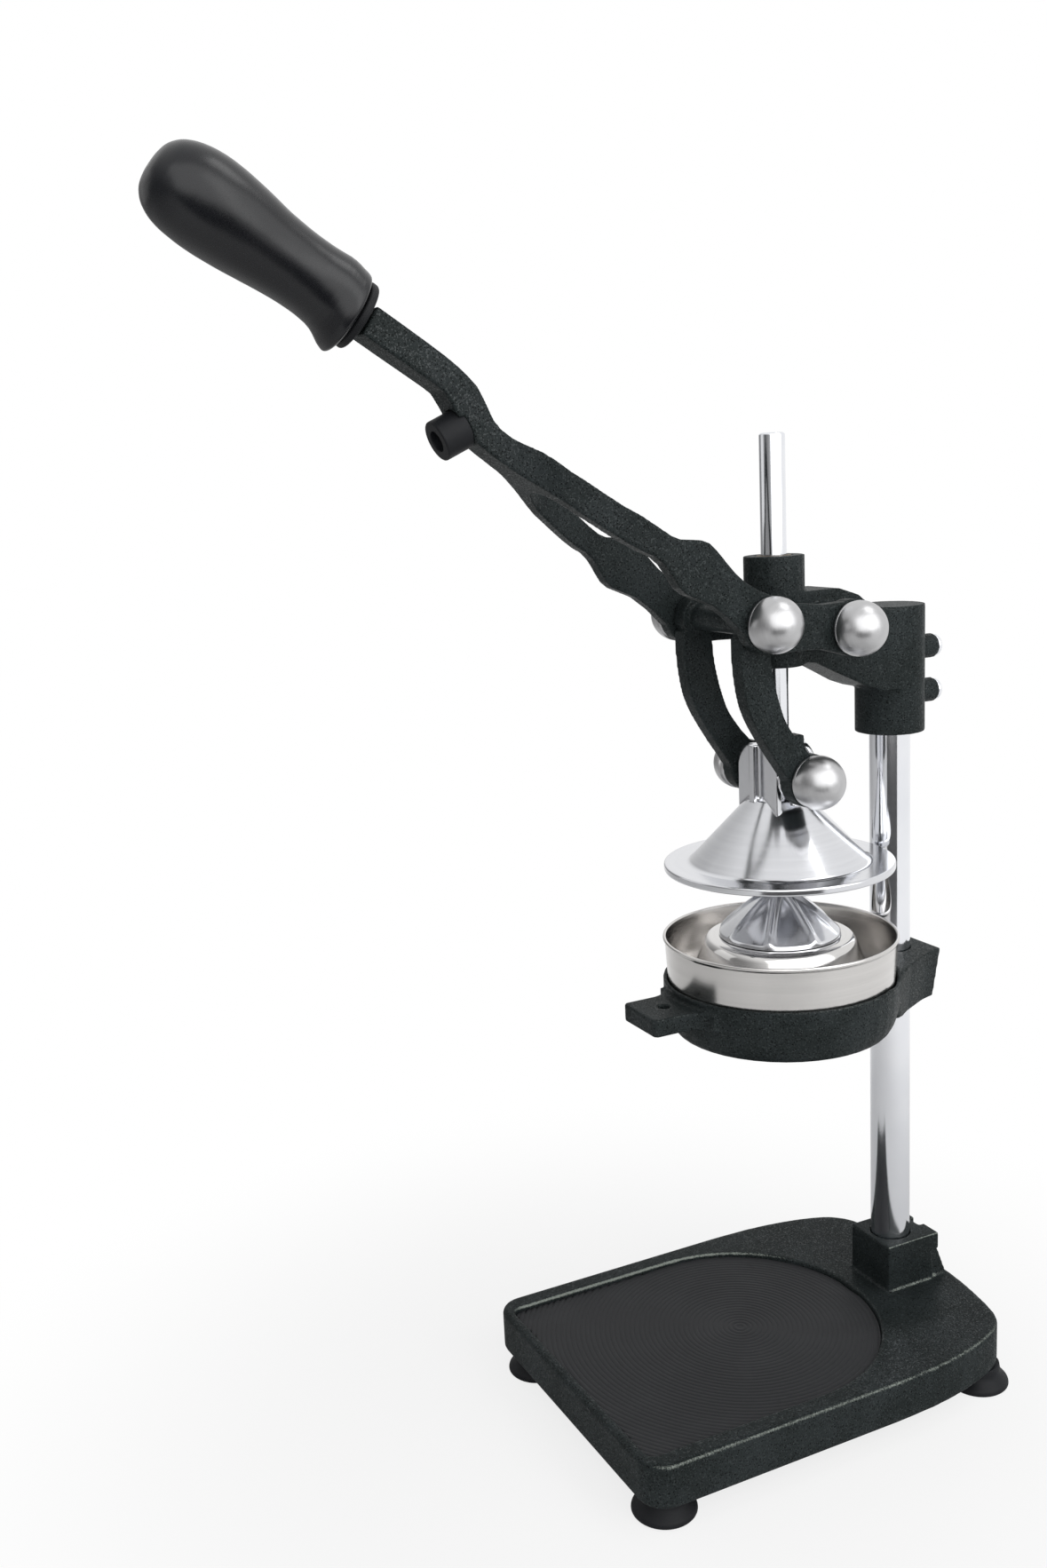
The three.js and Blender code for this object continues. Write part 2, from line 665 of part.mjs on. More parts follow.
function domeNut(name) {
  const dome = arc(0, domeNutBand, domeNutRadius - seatGap, 0, Math.PI / 2, 4).map(([r, h]) => [
    r, domeNutBand + (h - domeNutBand) * (domeNutHeight - domeNutBand) / (domeNutRadius - seatGap)]);
  const body = cut(turned([[0, 0], [domeNutRadius, 0], [domeNutRadius, domeNutBand], ...dome], smallSides),
    barZ(clampScrewRadius + seatGap, -overrun, domeNutHeight / 2 + seatGap, 0, 0, smallSides));
  const nut = piece(name, finish.chrome, body);
  nut.rotation.x = -Math.PI / 2;
  return nut;
}

function holderRing() {
  const height = holderTopZ - holderBottomZ;
  const curve = holderCurveShares.map(([out, up]) => [
    holderUnderRadius + out * (holderRadius - holderUnderRadius), holderBottomZ + up * height]);
  const lip = bowlNeckRadius + bowlSeatGap;
  return turned([[holderInnerRadius, holderBottomZ], [holderUnderRadius, holderBottomZ], ...curve,
    [holderRadius, holderTopZ], [lip, holderTopZ], [lip, holderLedgeZ],
    [holderInnerRadius, holderLedgeZ], [holderInnerRadius, holderBottomZ]], largeSides, 0, -guideOffset);
}

// The front tab: square-ended, blended into the ring by concave corners.
function holderTab() {
  const rootY = -guideOffset - holderRadius + tabCornerRadius;
  const blendX = tabHalfWidth + tabBlendRadius;
  const side = arc(tabHalfWidth - tabCornerRadius, tabFrontY + tabCornerRadius, tabCornerRadius,
    -Math.PI / 2, 0, 4);
  const blend = arc(blendX, rootY - tabBlendRadius, tabBlendRadius, Math.PI, Math.PI / 2, 6);
  const outline = mirrored(side.concat(blend, [[blendX, -guideOffset - holderInnerRadius]]));
  return cut(raised(shapeOf(outline), tabTopZ - tabThickness, tabTopZ),
    barZ(tabHoleRadius, tabTopZ - tabThickness - overrun, tabTopZ + overrun, 0,
      tabFrontY + tabHoleInset, smallSides));
}

// The column clamp: its sides sweep out to the ring and draw in towards the foot.
function holderClamp() {
  const side = smooth(clampSideShares.map(([out, along]) => [
    clampHalfWidth + out * (wingHalfWidth - clampHalfWidth),
    clampRearY + along * (wingFrontY - clampRearY)]), 10);
  return drafted(shapeOf(mirrored(side.reverse())), clampBottomZ, clampTopZ, clampFootShare);
}

function holderCasting() {
  const clampHole = barZ(columnRadius + seatGap, clampBottomZ - overrun, clampTopZ + overrun, 0, 0,
    largeSides);
  const lip = bowlNeckRadius + bowlSeatGap;
  const seatBore = barZ(lip, holderLedgeZ, clampTopZ + overrun, 0, -guideOffset, largeSides);
  const ringBore = barZ(holderInnerRadius, holderBottomZ - overrun, clampTopZ + overrun, 0,
    -guideOffset, largeSides);
  const screwHole = barY(setScrewRadius + seatGap, 0, clampRearY + overrun, 0, holderScrewZ(), smallSides);
  return piece('holder_casting', finish.castPaint,
    cut(join(holderRing(), holderTab(), holderClamp()), seatBore, ringBore, clampHole, screwHole));
}

function holderScrewZ() {
  return (clampBottomZ + clampTopZ) / 2;
}

// The bowl: a flared wall, a step that rests in the holder and a lower cup with the drain.
function bowl() {
  const stepZ = holderLedgeZ + seatGap;
  const outer = [
    [drainRadius + bowlWall, drainLipZ], [drainRadius + bowlWall, bowlFloorZ],
    [bowlFloorRadius, bowlFloorZ], [bowlCupRadius - bowlWall, bowlFloorZ + bowlWall * 2],
    [bowlCupRadius, bowlFloorZ + bowlWall * 5], [bowlCupRadius, stepZ],
    [bowlNeckRadius - bowlWall, stepZ], [bowlNeckRadius, stepZ + bowlWall],
    [bowlRimRadius - bowlRimRoll, bowlRimZ - bowlRimRoll * 3], [bowlRimRadius, bowlRimZ - bowlRimRoll],
    [bowlRimRadius - bowlRimRoll / 2, bowlRimZ],
  ];
  const inner = [
    [bowlRimRadius - bowlRimRoll - bowlWall, bowlRimZ - bowlRimRoll / 2],
    [bowlRimRadius - bowlRimRoll - bowlWall, bowlRimZ - bowlRimRoll * 3],
    [bowlNeckRadius - bowlWall, stepZ + bowlWall * 2], [bowlNeckRadius - bowlWall * 2, stepZ + bowlWall],
    [bowlCupRadius - bowlWall, stepZ + bowlWall], [bowlCupRadius - bowlWall, bowlFloorZ + bowlWall * 5],
    [bowlFloorRadius, bowlFloorZ + bowlWall], [drainRadius, bowlFloorZ + bowlWall],
    [drainRadius, drainLipZ], [drainRadius + bowlWall, drainLipZ],
  ];
  return piece('bowl', finish.brushedSteel, turned(outer.concat(inner), largeSides, 0, -guideOffset));
}

function strainerBaseZ() {
  return holderLedgeZ + seatGap + bowlWall + seatGap;
}

function strainer() {
  const low = strainerBaseZ();
  const height = strainerTopZ - low;
  const side = strainerSideShares.map(([out, up]) => [
    strainerShoulderRadius + out * (strainerFootRadius - strainerShoulderRadius), low + up * height]);
  const outer = side.slice(1);
  const inner = side.slice(1).reverse().map(([r, z]) => [r - strainerWall, z - strainerWall]);
  const top = strainerTopZ;
  let body = turned([
    [strainerFootRadius - strainerWall, low], [strainerFlangeRadius, low],
    [strainerFlangeRadius, low + strainerWall], [strainerFootRadius, low + strainerWall], ...outer,
    [strainerHoleRadius, top], [strainerHoleRadius, top - strainerWall], ...inner,
    [strainerFootRadius - strainerWall, low]], largeSides);
  for (let i = 0; i < strainerSlots; i += 1) {
    const slot = new THREE.BoxGeometry(strainerFootRadius - slotInnerRadius, slotWidth,
      slotHighZ - slotLowZ);
    slot.translate((strainerFootRadius + slotInnerRadius) / 2, 0, (slotHighZ + slotLowZ) / 2);
    slot.rotateZ(2 * Math.PI * (i + 1 / 2) / strainerSlots);
    body = cut(body, solid(slot));
  }
  return piece('strainer', finish.brushedSteel, body.translate([0, -guideOffset, 0]));
}

function reamerCone() {
  const low = strainerTopZ + seatGap;
  const profile = reamerShares.map(([out, up]) => [out * reamerRadius, low + up * reamerHeight]);
  let body = join(turned([[0, low], ...profile], roundSides),
    barZ(strainerHoleRadius - seatGap, low - spigotLength, low + spigotLength));
  for (let i = 0; i < reamerRibs; i += 1) {
    const rib = new THREE.Shape(reamerShares.map(([out, up]) => new THREE.Vector2(
      out * reamerRadius, low + up * reamerHeight + Math.min(up * reamerHeight, reamerRibRise))));
    rib.lineTo(0, low);
    const blade = new THREE.ExtrudeGeometry(rib, { depth: reamerRibWidth, bevelEnabled: false });
    blade.translate(0, 0, -reamerRibWidth / 2);
    blade.rotateX(Math.PI / 2);
    blade.rotateZ(2 * Math.PI * i / reamerRibs);
    body = join(body, solid(blade));
  }
  return piece('reamer_cone', finish.polishedAluminium, body.translate([0, -guideOffset, 0]));
}

// Pins lie along X, and their ends sit in the blind holes of the caps.
function pin(name, seatX) {
  const reach = seatX + pinEndDepth;
  return piece(name, finish.zincSteel, barX(pinRadius, -reach, reach, 0, 0, smallSides));
}

function capProfile() {
  const centre = capHeight - capRadius;
  const start = Math.asin((capRimHeight + capGrooveWidth - centre) / capRadius);
  const dome = arc(0, centre, capRadius, start, Math.PI / 2, 5);
  const groove = capSeatRadius + capGrooveDepth / 2;
  return [[0, 0], [capSeatRadius, 0], [capSeatRadius + capGrooveDepth, capGrooveWidth],
    [capSeatRadius + capGrooveDepth, capRimHeight], [groove, capRimHeight + capGrooveWidth / 2], ...dome];
}

function domeCap(name, side) {
  const body = cut(turned(capProfile(), roundSides),
    barZ(pinRadius + seatGap, -overrun, capHoleDepth, 0, 0, smallSides));
  const cap = piece(name, finish.brushedSteel, body);
  cap.rotation.y = side * Math.PI / 2;
  return cap;
}

// Lever pieces are drawn from the fixed pivot: [forward, up] becomes [-y, z].
function leverPoint([forward, up]) {
  return [-forward * leverReach, up * leverReach];
}

function leverSide() {
  const top = smooth(leverTopShares.map(leverPoint), 34);
  const under = smooth(leverUnderShares.map(leverPoint), 32);
  return sidePlate(top.concat(under.reverse()).reverse(), -leverHalfWidth, leverHalfWidth);
}

function forkPlan(shares, tipX) {
  const side = smooth(shares.map(([along, across]) => [
    across * leverHalfWidth, -along * leverReach]), 22);
  return raised(shapeOf(mirrored(side.slice(tipX))), -leverReach / 4, leverReach);
}

function gripFrame(object, along) {
  object.position.set(0, -gripStartForward - along * Math.cos(gripAngle),
    gripStartUp + along * Math.sin(gripAngle));
  object.rotation.x = Math.PI / 2 - gripAngle;
  return object;
}

function alongGrip(body, along) {
  const frame = gripFrame(new THREE.Object3D(), along);
  frame.updateMatrix();
  return solid(geometryOf(body).applyMatrix4(frame.matrix));
}

function bumperFrame(object) {
  object.position.set(0, -bumperTipForward + bumperLength * Math.cos(bumperAngle),
    bumperTipUp - bumperLength * Math.sin(bumperAngle));
  object.rotation.x = Math.PI / 2 - bumperAngle;
  return object;
}

function alongBumper(body) {
  const frame = bumperFrame(new THREE.Object3D());
  frame.updateMatrix();
  return solid(geometryOf(body).applyMatrix4(frame.matrix));
}

function leverCasting() {
  const eyes = [[linkY - pivotY, linkZ - pivotZ], [0, 0]];
  const innerX = leverHalfWidth - prongThickness;
  let body = leverSide();
  const [[webY, webZ]] = eyes;
  const web = sidePlate([[0, -leverWebHalfHeight], [0, leverWebHalfHeight],
    [webY, webZ + leverWebHalfHeight], [webY, webZ - leverWebHalfHeight]], -leverHalfWidth, leverHalfWidth);
  body = join(body, web);
  for (const [y, z] of eyes) {
    body = join(body, barX(eyeRadius, -leverHalfWidth, leverHalfWidth, y, z));
  }
  body = cut(body.intersect(forkPlan(forkOuterShares, 0)), forkPlan(forkInnerShares, 0));
  const bare = collarThickness + seatGap * 2;
  body = join(body, alongGrip(barZ(tangRadius, -bare * 2, tangLength), 0),
    alongBumper(barZ(bumperRadius - seatGap, -bumperSeatLength, -seatGap)));
  body = cut(body, alongBumper(barZ(bumperRadius + seatGap, -seatGap, bumperLength + overrun)),
    alongBumper(barZ(bumperScrewRadius + seatGap, -bumperScrewLength, overrun, 0, 0, smallSides)));
  for (const [y, z] of eyes) {
    body = cut(body, barX(pinRadius + seatGap, -leverHalfWidth - overrun, leverHalfWidth + overrun, y, z,
      smallSides));
    body = cut(body, barX(eyeRadius + seatGap, -innerX, innerX, y, z));
  }
  return piece('lever_casting', finish.castPaint, body);
}

function collar() {
  const body = cut(turned([[0, 0], [collarRadius - seatGap, 0], [collarRadius, seatGap],
    [collarRadius, collarThickness - seatGap], [collarRadius - seatGap, collarThickness],
    [0, collarThickness]]),
  barZ(tangRadius + seatGap, -overrun, collarThickness + overrun));
  return gripFrame(piece('grip_collar', finish.blackRubber, body), -collarThickness - seatGap);
}

function grip() {
  const profile = gripShares.map(([along, out]) => [out * gripRadius, along * gripLength]);
  const body = cut(turned([[0, 0], ...profile], roundSides),
    barZ(tangRadius + seatGap, -overrun, tangLength + seatGap));
  return gripFrame(piece('grip', finish.blackRubber, body), 0);
}

function bumper() {
  const boreFloor = bumperLength - bumperBoreDepth;
  const body = cut(turned([[0, 0], [bumperRadius, 0], [bumperRadius, bumperLength - seatGap],
    [bumperRadius - seatGap, bumperLength], [0, bumperLength]]),
  barZ(bumperBoreRadius, boreFloor, bumperLength + overrun, 0, 0, smallSides),
  barZ(bumperScrewRadius + seatGap, -overrun, bumperLength, 0, 0, smallSides));
  return bumperFrame(piece('lever_bumper', finish.blackRubber, body));
}

function bumperScrew() {
  const head = bumperLength - bumperBoreDepth + seatGap;
  const body = join(
    barZ(bumperBoreRadius - seatGap * 2, head, head + bumperScrewHead, 0, 0, smallSides),
    barZ(bumperScrewRadius, -bumperScrewLength + seatGap * 2, head + bumperScrewHead / 2, 0, 0, smallSides));
  return bumperFrame(piece('bumper_screw', finish.zincSteel, body));
}

// The yoke is drawn from the lever pin. Its arms bow towards the user on the way to the bell pin.
function yokeArm(lowX, highX, withLug) {
  const footY = -guideOffset - linkY;
  const footZ = bellPinZ - linkZ;
  const place = ([back, down]) => [back * footY, down * footZ];
  const front = smooth(armFrontShares.map(place), armSteps);
  const rear = smooth(armRearShares.map(place), armSteps);
  const [lugRoot, lugEnd] = armLugTopShares.map(place);
  const lug = [lugRoot, lugEnd, [lugEnd[0], lugEnd[1] - armLugFaceHeight],
    [footY, armLugFootShare * footZ], [lugRoot[0], armLugFootShare * footZ]];
  const arm = join(
    sidePlate(front.concat(rear.reverse()), lowX, highX),
    barX(yokeEyeRadius, lowX, highX),
    barX(yokeFootRadius, lowX, highX, footY, footZ));
  return withLug ? join(arm, sidePlate(lug.reverse(), lowX, highX)) : arm;
}

function yoke() {
  let body = join(yokeArm(armInnerX, armOuterX, true), yokeArm(-armOuterX, -armInnerX, false),
    barX(hubRadius, -armOuterX, armOuterX));
  const reach = armOuterX + overrun;
  body = cut(body, barX(pinRadius + seatGap, -reach, reach, 0, 0, smallSides),
    barX(pinRadius + seatGap, -reach, reach, -guideOffset - linkY, bellPinZ - linkZ, smallSides));
  return piece('yoke', finish.castPaint, body);
}

// The bell is turned; its neck is a plate hub with a front rib, cross bosses and a rod seat.
function bellTurning() {
  const low = bellTopZ - bellFlangeThickness;
  const slope = (bellConeRadius - bellConeTopRadius) / (bellConeTopZ - bellTopZ);
  const mouth = bellConeRadius - bellWall;
  const cavityTop = mouth - slope * (bellCavityTopZ - low) + bellWall;
  return turned([[mouth, low], [bellRadius - seatGap, low], [bellRadius, low + seatGap],
    [bellRadius, bellTopZ - seatGap], [bellRadius - seatGap, bellTopZ], [bellConeRadius, bellTopZ],
    [bellConeTopRadius, bellConeTopZ], [0, bellConeTopZ], [0, bellCavityTopZ],
    [cavityTop, bellCavityTopZ], [mouth, low]], largeSides);
}

function neckPlateShape() {
  const top = neckTopZ - neckCornerRadius;
  const corner = arc(neckHalfWidth - neckCornerRadius, top, neckCornerRadius, 0, Math.PI / 2, 8);
  return shapeOf(mirrored([[neckHalfWidth, bellCavityTopZ], ...corner]));
}

function neckPlateAt(lowY) {
  const plate = new THREE.ExtrudeGeometry(neckPlateShape(), { depth: neckPlate, bevelEnabled: false });
  plate.rotateX(Math.PI / 2);
  plate.translate(0, lowY + neckPlate, 0);
  return solid(plate);
}

function bellNeck() {
  const ribFront = -neckHalfDepth - neckRibReach;
  return join(
    neckPlateAt(-neckHalfDepth), neckPlateAt(neckHalfDepth - neckPlate),
    box(-neckRibThickness / 2, neckRibThickness / 2, ribFront, -ribFront, bellCavityTopZ, neckTopZ),
    box(-neckHalfWidth, neckHalfWidth, -neckRibThickness / 2, neckRibThickness / 2, bellCavityTopZ,
      bellPinZ),
    barZ(neckCoreRadius, bellCavityTopZ, neckTopZ),
    barX(neckBossRadius, -neckBossX, neckBossX, 0, bellPinZ));
}

function pressBell() {
  const cavity = bellCavityTopZ - overrun;
  const blank = box(-bellRadius, bellRadius, -bellRadius, bellRadius, cavity, neckTopZ);
  const neck = bellNeck().intersect(blank);
  const slot = pinRadius + seatGap;
  const body = cut(join(bellTurning(), neck),
    box(-neckBossX - overrun, neckBossX + overrun, -slot - pinSlotReach, slot + pinSlotReach,
      bellPinZ - slot - pinSlotRise, bellPinZ + slot + pinSlotRise),
    barZ(guideRadius + seatGap, guideSeatZ - seatGap, neckTopZ + overrun));
  return piece('press_bell', finish.polishedAluminium, body);
}

function guideRod() {
  return piece('guide_rod', finish.chrome, turned([[0, guideSeatZ], [guideRadius, guideSeatZ],
    [guideRadius, guideTopZ - guideChamfer], [guideRadius - guideChamfer, guideTopZ], [0, guideTopZ]],
  largeSides));
}

function at(object, x, y, z) {
  object.position.set(x, y, z);
  return object;
}

// Adds a pin with a cap on each end, carried by a group at the pin's centre.
function addPin(group, name, seatX) {
  group.add(pin(`${name}_pin`, seatX));
  group.add(at(domeCap(`${name}_cap_right`, 1), seatX, 0, 0));
  group.add(at(domeCap(`${name}_cap_left`, -1), -seatX, 0, 0));
}

const press = new THREE.Group();

press.add(baseCasting(), dripMat(), column());
for (const [place, x, y] of footPlaces) {
  press.add(at(foot(place), x, y, 0), at(footScrew(place), x, y, 0));
}
press.add(setScrew('base_set_screw', columnRadius + seatGap, setScrewZ));
press.add(headCasting());
press.add(guideBush('guide_bush_upper', bossTopZ - bushLength + seatGap));
press.add(guideBush('guide_bush_lower', bossBottomZ));
for (const [place, z] of [['upper', clampScrewUpperZ], ['lower', clampScrewLowerZ]]) {
  press.add(clampScrew(`clamp_screw_${place}`, z));
  press.add(at(domeNut(`clamp_nut_${place}`), 0, clampBossRearY + seatGap, z));
}
press.add(holderCasting(), setScrew('holder_set_screw', columnRadius + seatGap, holderScrewZ()));
press.add(bowl(), strainer(), reamerCone());

const outerSeatX = leverHalfWidth + seatGap;
const pivotPin = at(new THREE.Group(), 0, pivotY, pivotZ);
addPin(pivotPin, 'pivot', outerSeatX);

const lever = at(new THREE.Group(), 0, pivotY, pivotZ);
lever.add(leverCasting(), collar(), grip(), bumper(), bumperScrew());
const linkPin = at(new THREE.Group(), 0, linkY - pivotY, linkZ - pivotZ);
addPin(linkPin, 'link', outerSeatX);
lever.add(linkPin);

const yokeGroup = at(new THREE.Group(), 0, linkY, linkZ);
yokeGroup.add(yoke());
const bellPin = at(new THREE.Group(), 0, -guideOffset - linkY, bellPinZ - linkZ);
addPin(bellPin, 'bell', armOuterX + seatGap);
yokeGroup.add(bellPin);

const bell = at(new THREE.Group(), 0, -guideOffset, 0);
bell.add(pressBell(), guideRod());

press.add(pivotPin, lever, yokeGroup, bell);

// The frame's origin is on the ground at the middle of the whole press.
press.updateMatrixWorld(true);
const bounds = new THREE.Box3().setFromObject(press, true);
press.position.y = -(bounds.min.y + bounds.max.y) / 2;

export default press;
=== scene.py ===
# %% [markdown]
# # Dressing a lever citrus press
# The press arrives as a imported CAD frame: every piece is in its true place, and the moving ones
# belong to bodies that turn or slide. This file gives it its looks. The castings get soft edges
# and hammered paint, the turned metal gets true round forms, and the rubber gets its ribs.
# The CAD solids stay as they are. Where one is too plain, a finer piece stands for it.
# Lengths are in metres, as everywhere in Blender, and mm turns millimetres into them.

# %% Load the frame and keep its box
import json
import math
import bmesh
import bpy
from mathutils import Matrix, Vector


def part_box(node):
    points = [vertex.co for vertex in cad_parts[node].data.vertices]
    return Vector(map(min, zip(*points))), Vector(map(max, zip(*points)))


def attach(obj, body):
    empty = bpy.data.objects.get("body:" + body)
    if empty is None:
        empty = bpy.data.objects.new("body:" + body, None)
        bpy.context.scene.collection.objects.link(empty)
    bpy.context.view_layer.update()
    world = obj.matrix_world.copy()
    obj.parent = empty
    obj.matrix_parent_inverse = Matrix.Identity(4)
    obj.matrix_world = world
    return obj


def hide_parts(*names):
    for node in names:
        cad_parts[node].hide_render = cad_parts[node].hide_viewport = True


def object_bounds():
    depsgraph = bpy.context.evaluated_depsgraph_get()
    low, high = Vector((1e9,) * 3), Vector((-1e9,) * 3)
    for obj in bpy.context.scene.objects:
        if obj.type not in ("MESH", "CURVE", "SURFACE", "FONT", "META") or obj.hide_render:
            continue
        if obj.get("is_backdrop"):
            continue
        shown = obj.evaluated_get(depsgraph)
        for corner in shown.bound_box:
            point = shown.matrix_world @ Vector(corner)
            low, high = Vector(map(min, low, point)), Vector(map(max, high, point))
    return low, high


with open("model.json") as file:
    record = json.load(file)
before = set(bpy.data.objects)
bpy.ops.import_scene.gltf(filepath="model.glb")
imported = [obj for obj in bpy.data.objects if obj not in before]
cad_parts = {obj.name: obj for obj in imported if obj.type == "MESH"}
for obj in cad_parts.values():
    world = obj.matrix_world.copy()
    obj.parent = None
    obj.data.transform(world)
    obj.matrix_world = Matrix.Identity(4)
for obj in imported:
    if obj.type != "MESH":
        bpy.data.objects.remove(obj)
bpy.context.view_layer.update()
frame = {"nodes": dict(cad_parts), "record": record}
mm = 0.001


# %% [markdown]
# Most places follow from a few pieces of the frame. They could be typed, but then they would be
# wrong as soon as the CAD changed, so they are read from it. The column and the guide rod stand
# upright and the pins lie across the press, so the middle of each one's box is on its axis.

# %% Where the main axes are
def middle(node):
    """The middle of a CAD node's box."""
    low, high = (Vector(corner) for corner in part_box(node))
    return (low + high) / 2


column_y = middle("column").y
guide_y = middle("guide_rod").y
pivot = middle("pivot_pin")
link = middle("link_pin")
bell_pin = middle("bell_pin")
print("column axis y", round(column_y / mm, 2), "guide axis y", round(guide_y / mm, 2))


# %% [markdown]
# A finish is a small graph of nodes. It could be wired up one link at a time, but then nobody can
# read it. Written as arithmetic it stays readable, so a socket is wrapped in a class whose
# operators add Math nodes.

# %% Shader sockets that behave like numbers
class Signal:
    """An output socket of a finish. Arithmetic on it adds Math nodes."""

    def __init__(self, finish, socket):
        self.finish = finish
        self.socket = socket

    def math(self, operation, *others):
        return self.finish.math(operation, self, *others)

    def __add__(self, other):
        return self.finish.math("ADD", self, other)

    def __radd__(self, other):
        return self.finish.math("ADD", other, self)

    def __sub__(self, other):
        return self.finish.math("SUBTRACT", self, other)

    def __rsub__(self, other):
        return self.finish.math("SUBTRACT", other, self)

    def __mul__(self, other):
        return self.finish.math("MULTIPLY", self, other)

    def __rmul__(self, other):
        return self.finish.math("MULTIPLY", other, self)

    def between(self, low, high):
        """0 below low, 1 above high, and smooth in between."""
        return self.finish.node(
            "ShaderNodeMapRange", {"Value": self, "From Min": low, "From Max": high},
            interpolation_type="SMOOTHSTEP")


print("sockets can be added, subtracted and multiplied")


# %% [markdown]
# Every finish here is one Principled shader with a few patterns in front of it. The class below
# holds that shader. One method makes any node, and the rest are short names for the patterns
# that come back again and again. Patterns read Object coordinates, because every piece has its
# place in its mesh, so a pattern stays put on the piece when the piece moves.

# %% A finish on one Principled shader
class Finish:
    """A material on one Principled shader."""

    def __init__(self, name, **uniform):
        self.material = bpy.data.materials.new(name)
        self.material.use_nodes = True
        self.tree = self.material.node_tree
        self.shader = self.tree.nodes["Principled BSDF"]
        for socket, value in uniform.items():
            self.shader.inputs[socket.replace("_", " ")].default_value = value
        self.place = self.node("ShaderNodeTexCoord", output="Object")

    def feed(self, socket, value):
        """Links a signal to a socket, or sets the socket to a plain value."""
        if isinstance(value, Signal):
            self.tree.links.new(value.socket, socket)
        else:
            socket.default_value = value

    def node(self, kind, inputs=None, output=0, **settings):
        """Adds a node with these settings and inputs and returns one of its outputs."""
        made = self.tree.nodes.new(kind)
        for key, value in settings.items():
            setattr(made, key, value)
        for key, value in (inputs or {}).items():
            self.feed(made.inputs[key], value)
        return Signal(self, made.outputs[output])

    def math(self, operation, *terms):
        return self.node("ShaderNodeMath", dict(enumerate(terms)), operation=operation)

    def noise(self, size, detail=2.0, where=None, roughness=0.5):
        """Cloudy noise whose lumps are about size wide, in metres."""
        return self.node("ShaderNodeTexNoise", {
            "Vector": where or self.place, "Scale": 1 / size, "Detail": detail,
            "Roughness": roughness})

    def blend(self, amount, low, high):
        """A colour between low and high."""
        return self.node("ShaderNodeMix", {"Factor": amount, 6: low, 7: high}, output=2,
                         data_type="RGBA")

    def parts(self):
        """The x, y and z of the place on the piece."""
        split = self.node("ShaderNodeSeparateXYZ", {"Vector": self.place})
        outputs = split.socket.node.outputs
        return [Signal(self, outputs[axis]) for axis in "XYZ"]

    def relief(self, height, depth, strength):
        """Feeds the Normal with a bump whose height of 1 stands depth proud, in metres."""
        bump = self.node("ShaderNodeBump", {
            "Height": height, "Distance": depth, "Strength": strength})
        self.feed(self.shader.inputs["Normal"], bump)

    def colour(self, value):
        self.feed(self.shader.inputs["Base Color"], value)

    def roughness(self, value):
        self.feed(self.shader.inputs["Roughness"], value)

    def coat(self, value):
        self.feed(self.shader.inputs["Coat Weight"], value)


def tone(red, green, blue):
    """A colour as it shows on screen, from 0 to 255, turned into light values."""
    return tuple(((part / 255 + 0.055) / 1.055) ** 2.4 for part in (red, green, blue)) + (1.0,)


print("screen tone 128 is light value", round(tone(128, 128, 128)[0], 3))


# %% [markdown]
# The castings wear a hammered enamel: slate-black with a little green, full of small dimples with
# glossy lumps between them. Real dents in the mesh would need millions of faces, so bump and
# colour make them. A Voronoi texture places the dimples and a noise makes the lumps. The dimples
# are also darkened in the colour, which is painted shade. The gloss sits in the clear coat of the
# lumps only, so that they glint while the dimples stay dull, and pale flecks on the lumps paint
# more glints into the colour. Paint draws thin over sharp edges, so the vertex attribute "edge"
# pales
# them in broken patches: worn paint, and a painted highlight where the edges face the lamps.

# %% Hammered paint
def hammered_paint():
    paint = Finish("cast_paint", Specular_IOR_Level=0.03, Coat_Roughness=0.24, Coat_IOR=1.5)
    lumps = paint.noise(0.75 * mm, 2.0)
    cells = paint.node("ShaderNodeTexVoronoi", {"Vector": paint.place, "Scale": 1 / (1.15 * mm)})
    dimple = 1 - (cells + (lumps - 0.5) * 0.4).between(0.14, 0.36)
    cloud = paint.noise(24 * mm, 3.0).between(0.3, 0.75)
    fleck = lumps.between(0.54, 0.66) * (1 - dimple)
    edge = paint.node("ShaderNodeAttribute", output="Fac", attribute_name="edge")
    wear_and_highlight = (edge * (0.4 + lumps * 1.2)).between(0.35, 0.8)
    ground = paint.blend(cloud, tone(35, 40, 40), tone(46, 51, 52))
    # Painted shade: the dimples are darkened in the colour, as dents in shadow would look.
    with_painted_dent_shade = paint.blend(dimple * 0.9, ground, tone(7, 10, 10))
    # Painted glint: pale flecks on the lumps, added on top of the coat's real gloss.
    with_painted_glints = paint.blend(fleck * 0.22, with_painted_dent_shade, tone(80, 88, 89))
    # Paled edges: worn paint, and a painted highlight on the edges that face the lamps.
    paint.colour(paint.blend(wear_and_highlight * 0.8, with_painted_glints, tone(150, 158, 150)))
    paint.roughness(0.5 - fleck * 0.12)
    paint.coat(0.06 + fleck * 0.35 + wear_and_highlight * 0.3)
    paint.relief(lumps * 0.4 - dimple * 0.5, 0.3 * mm, 0.9)
    return paint.material


cast_paint = hammered_paint()
print("made", cast_paint.name)


# %% [markdown]
# Plated bar is nearly a mirror. A perfect mirror looks like a drawing, so a faint grain runs
# round it from the grinding before plating. The grain is the same noise as elsewhere, squeezed
# along the bar, and it is felt more in the roughness than in the colour.

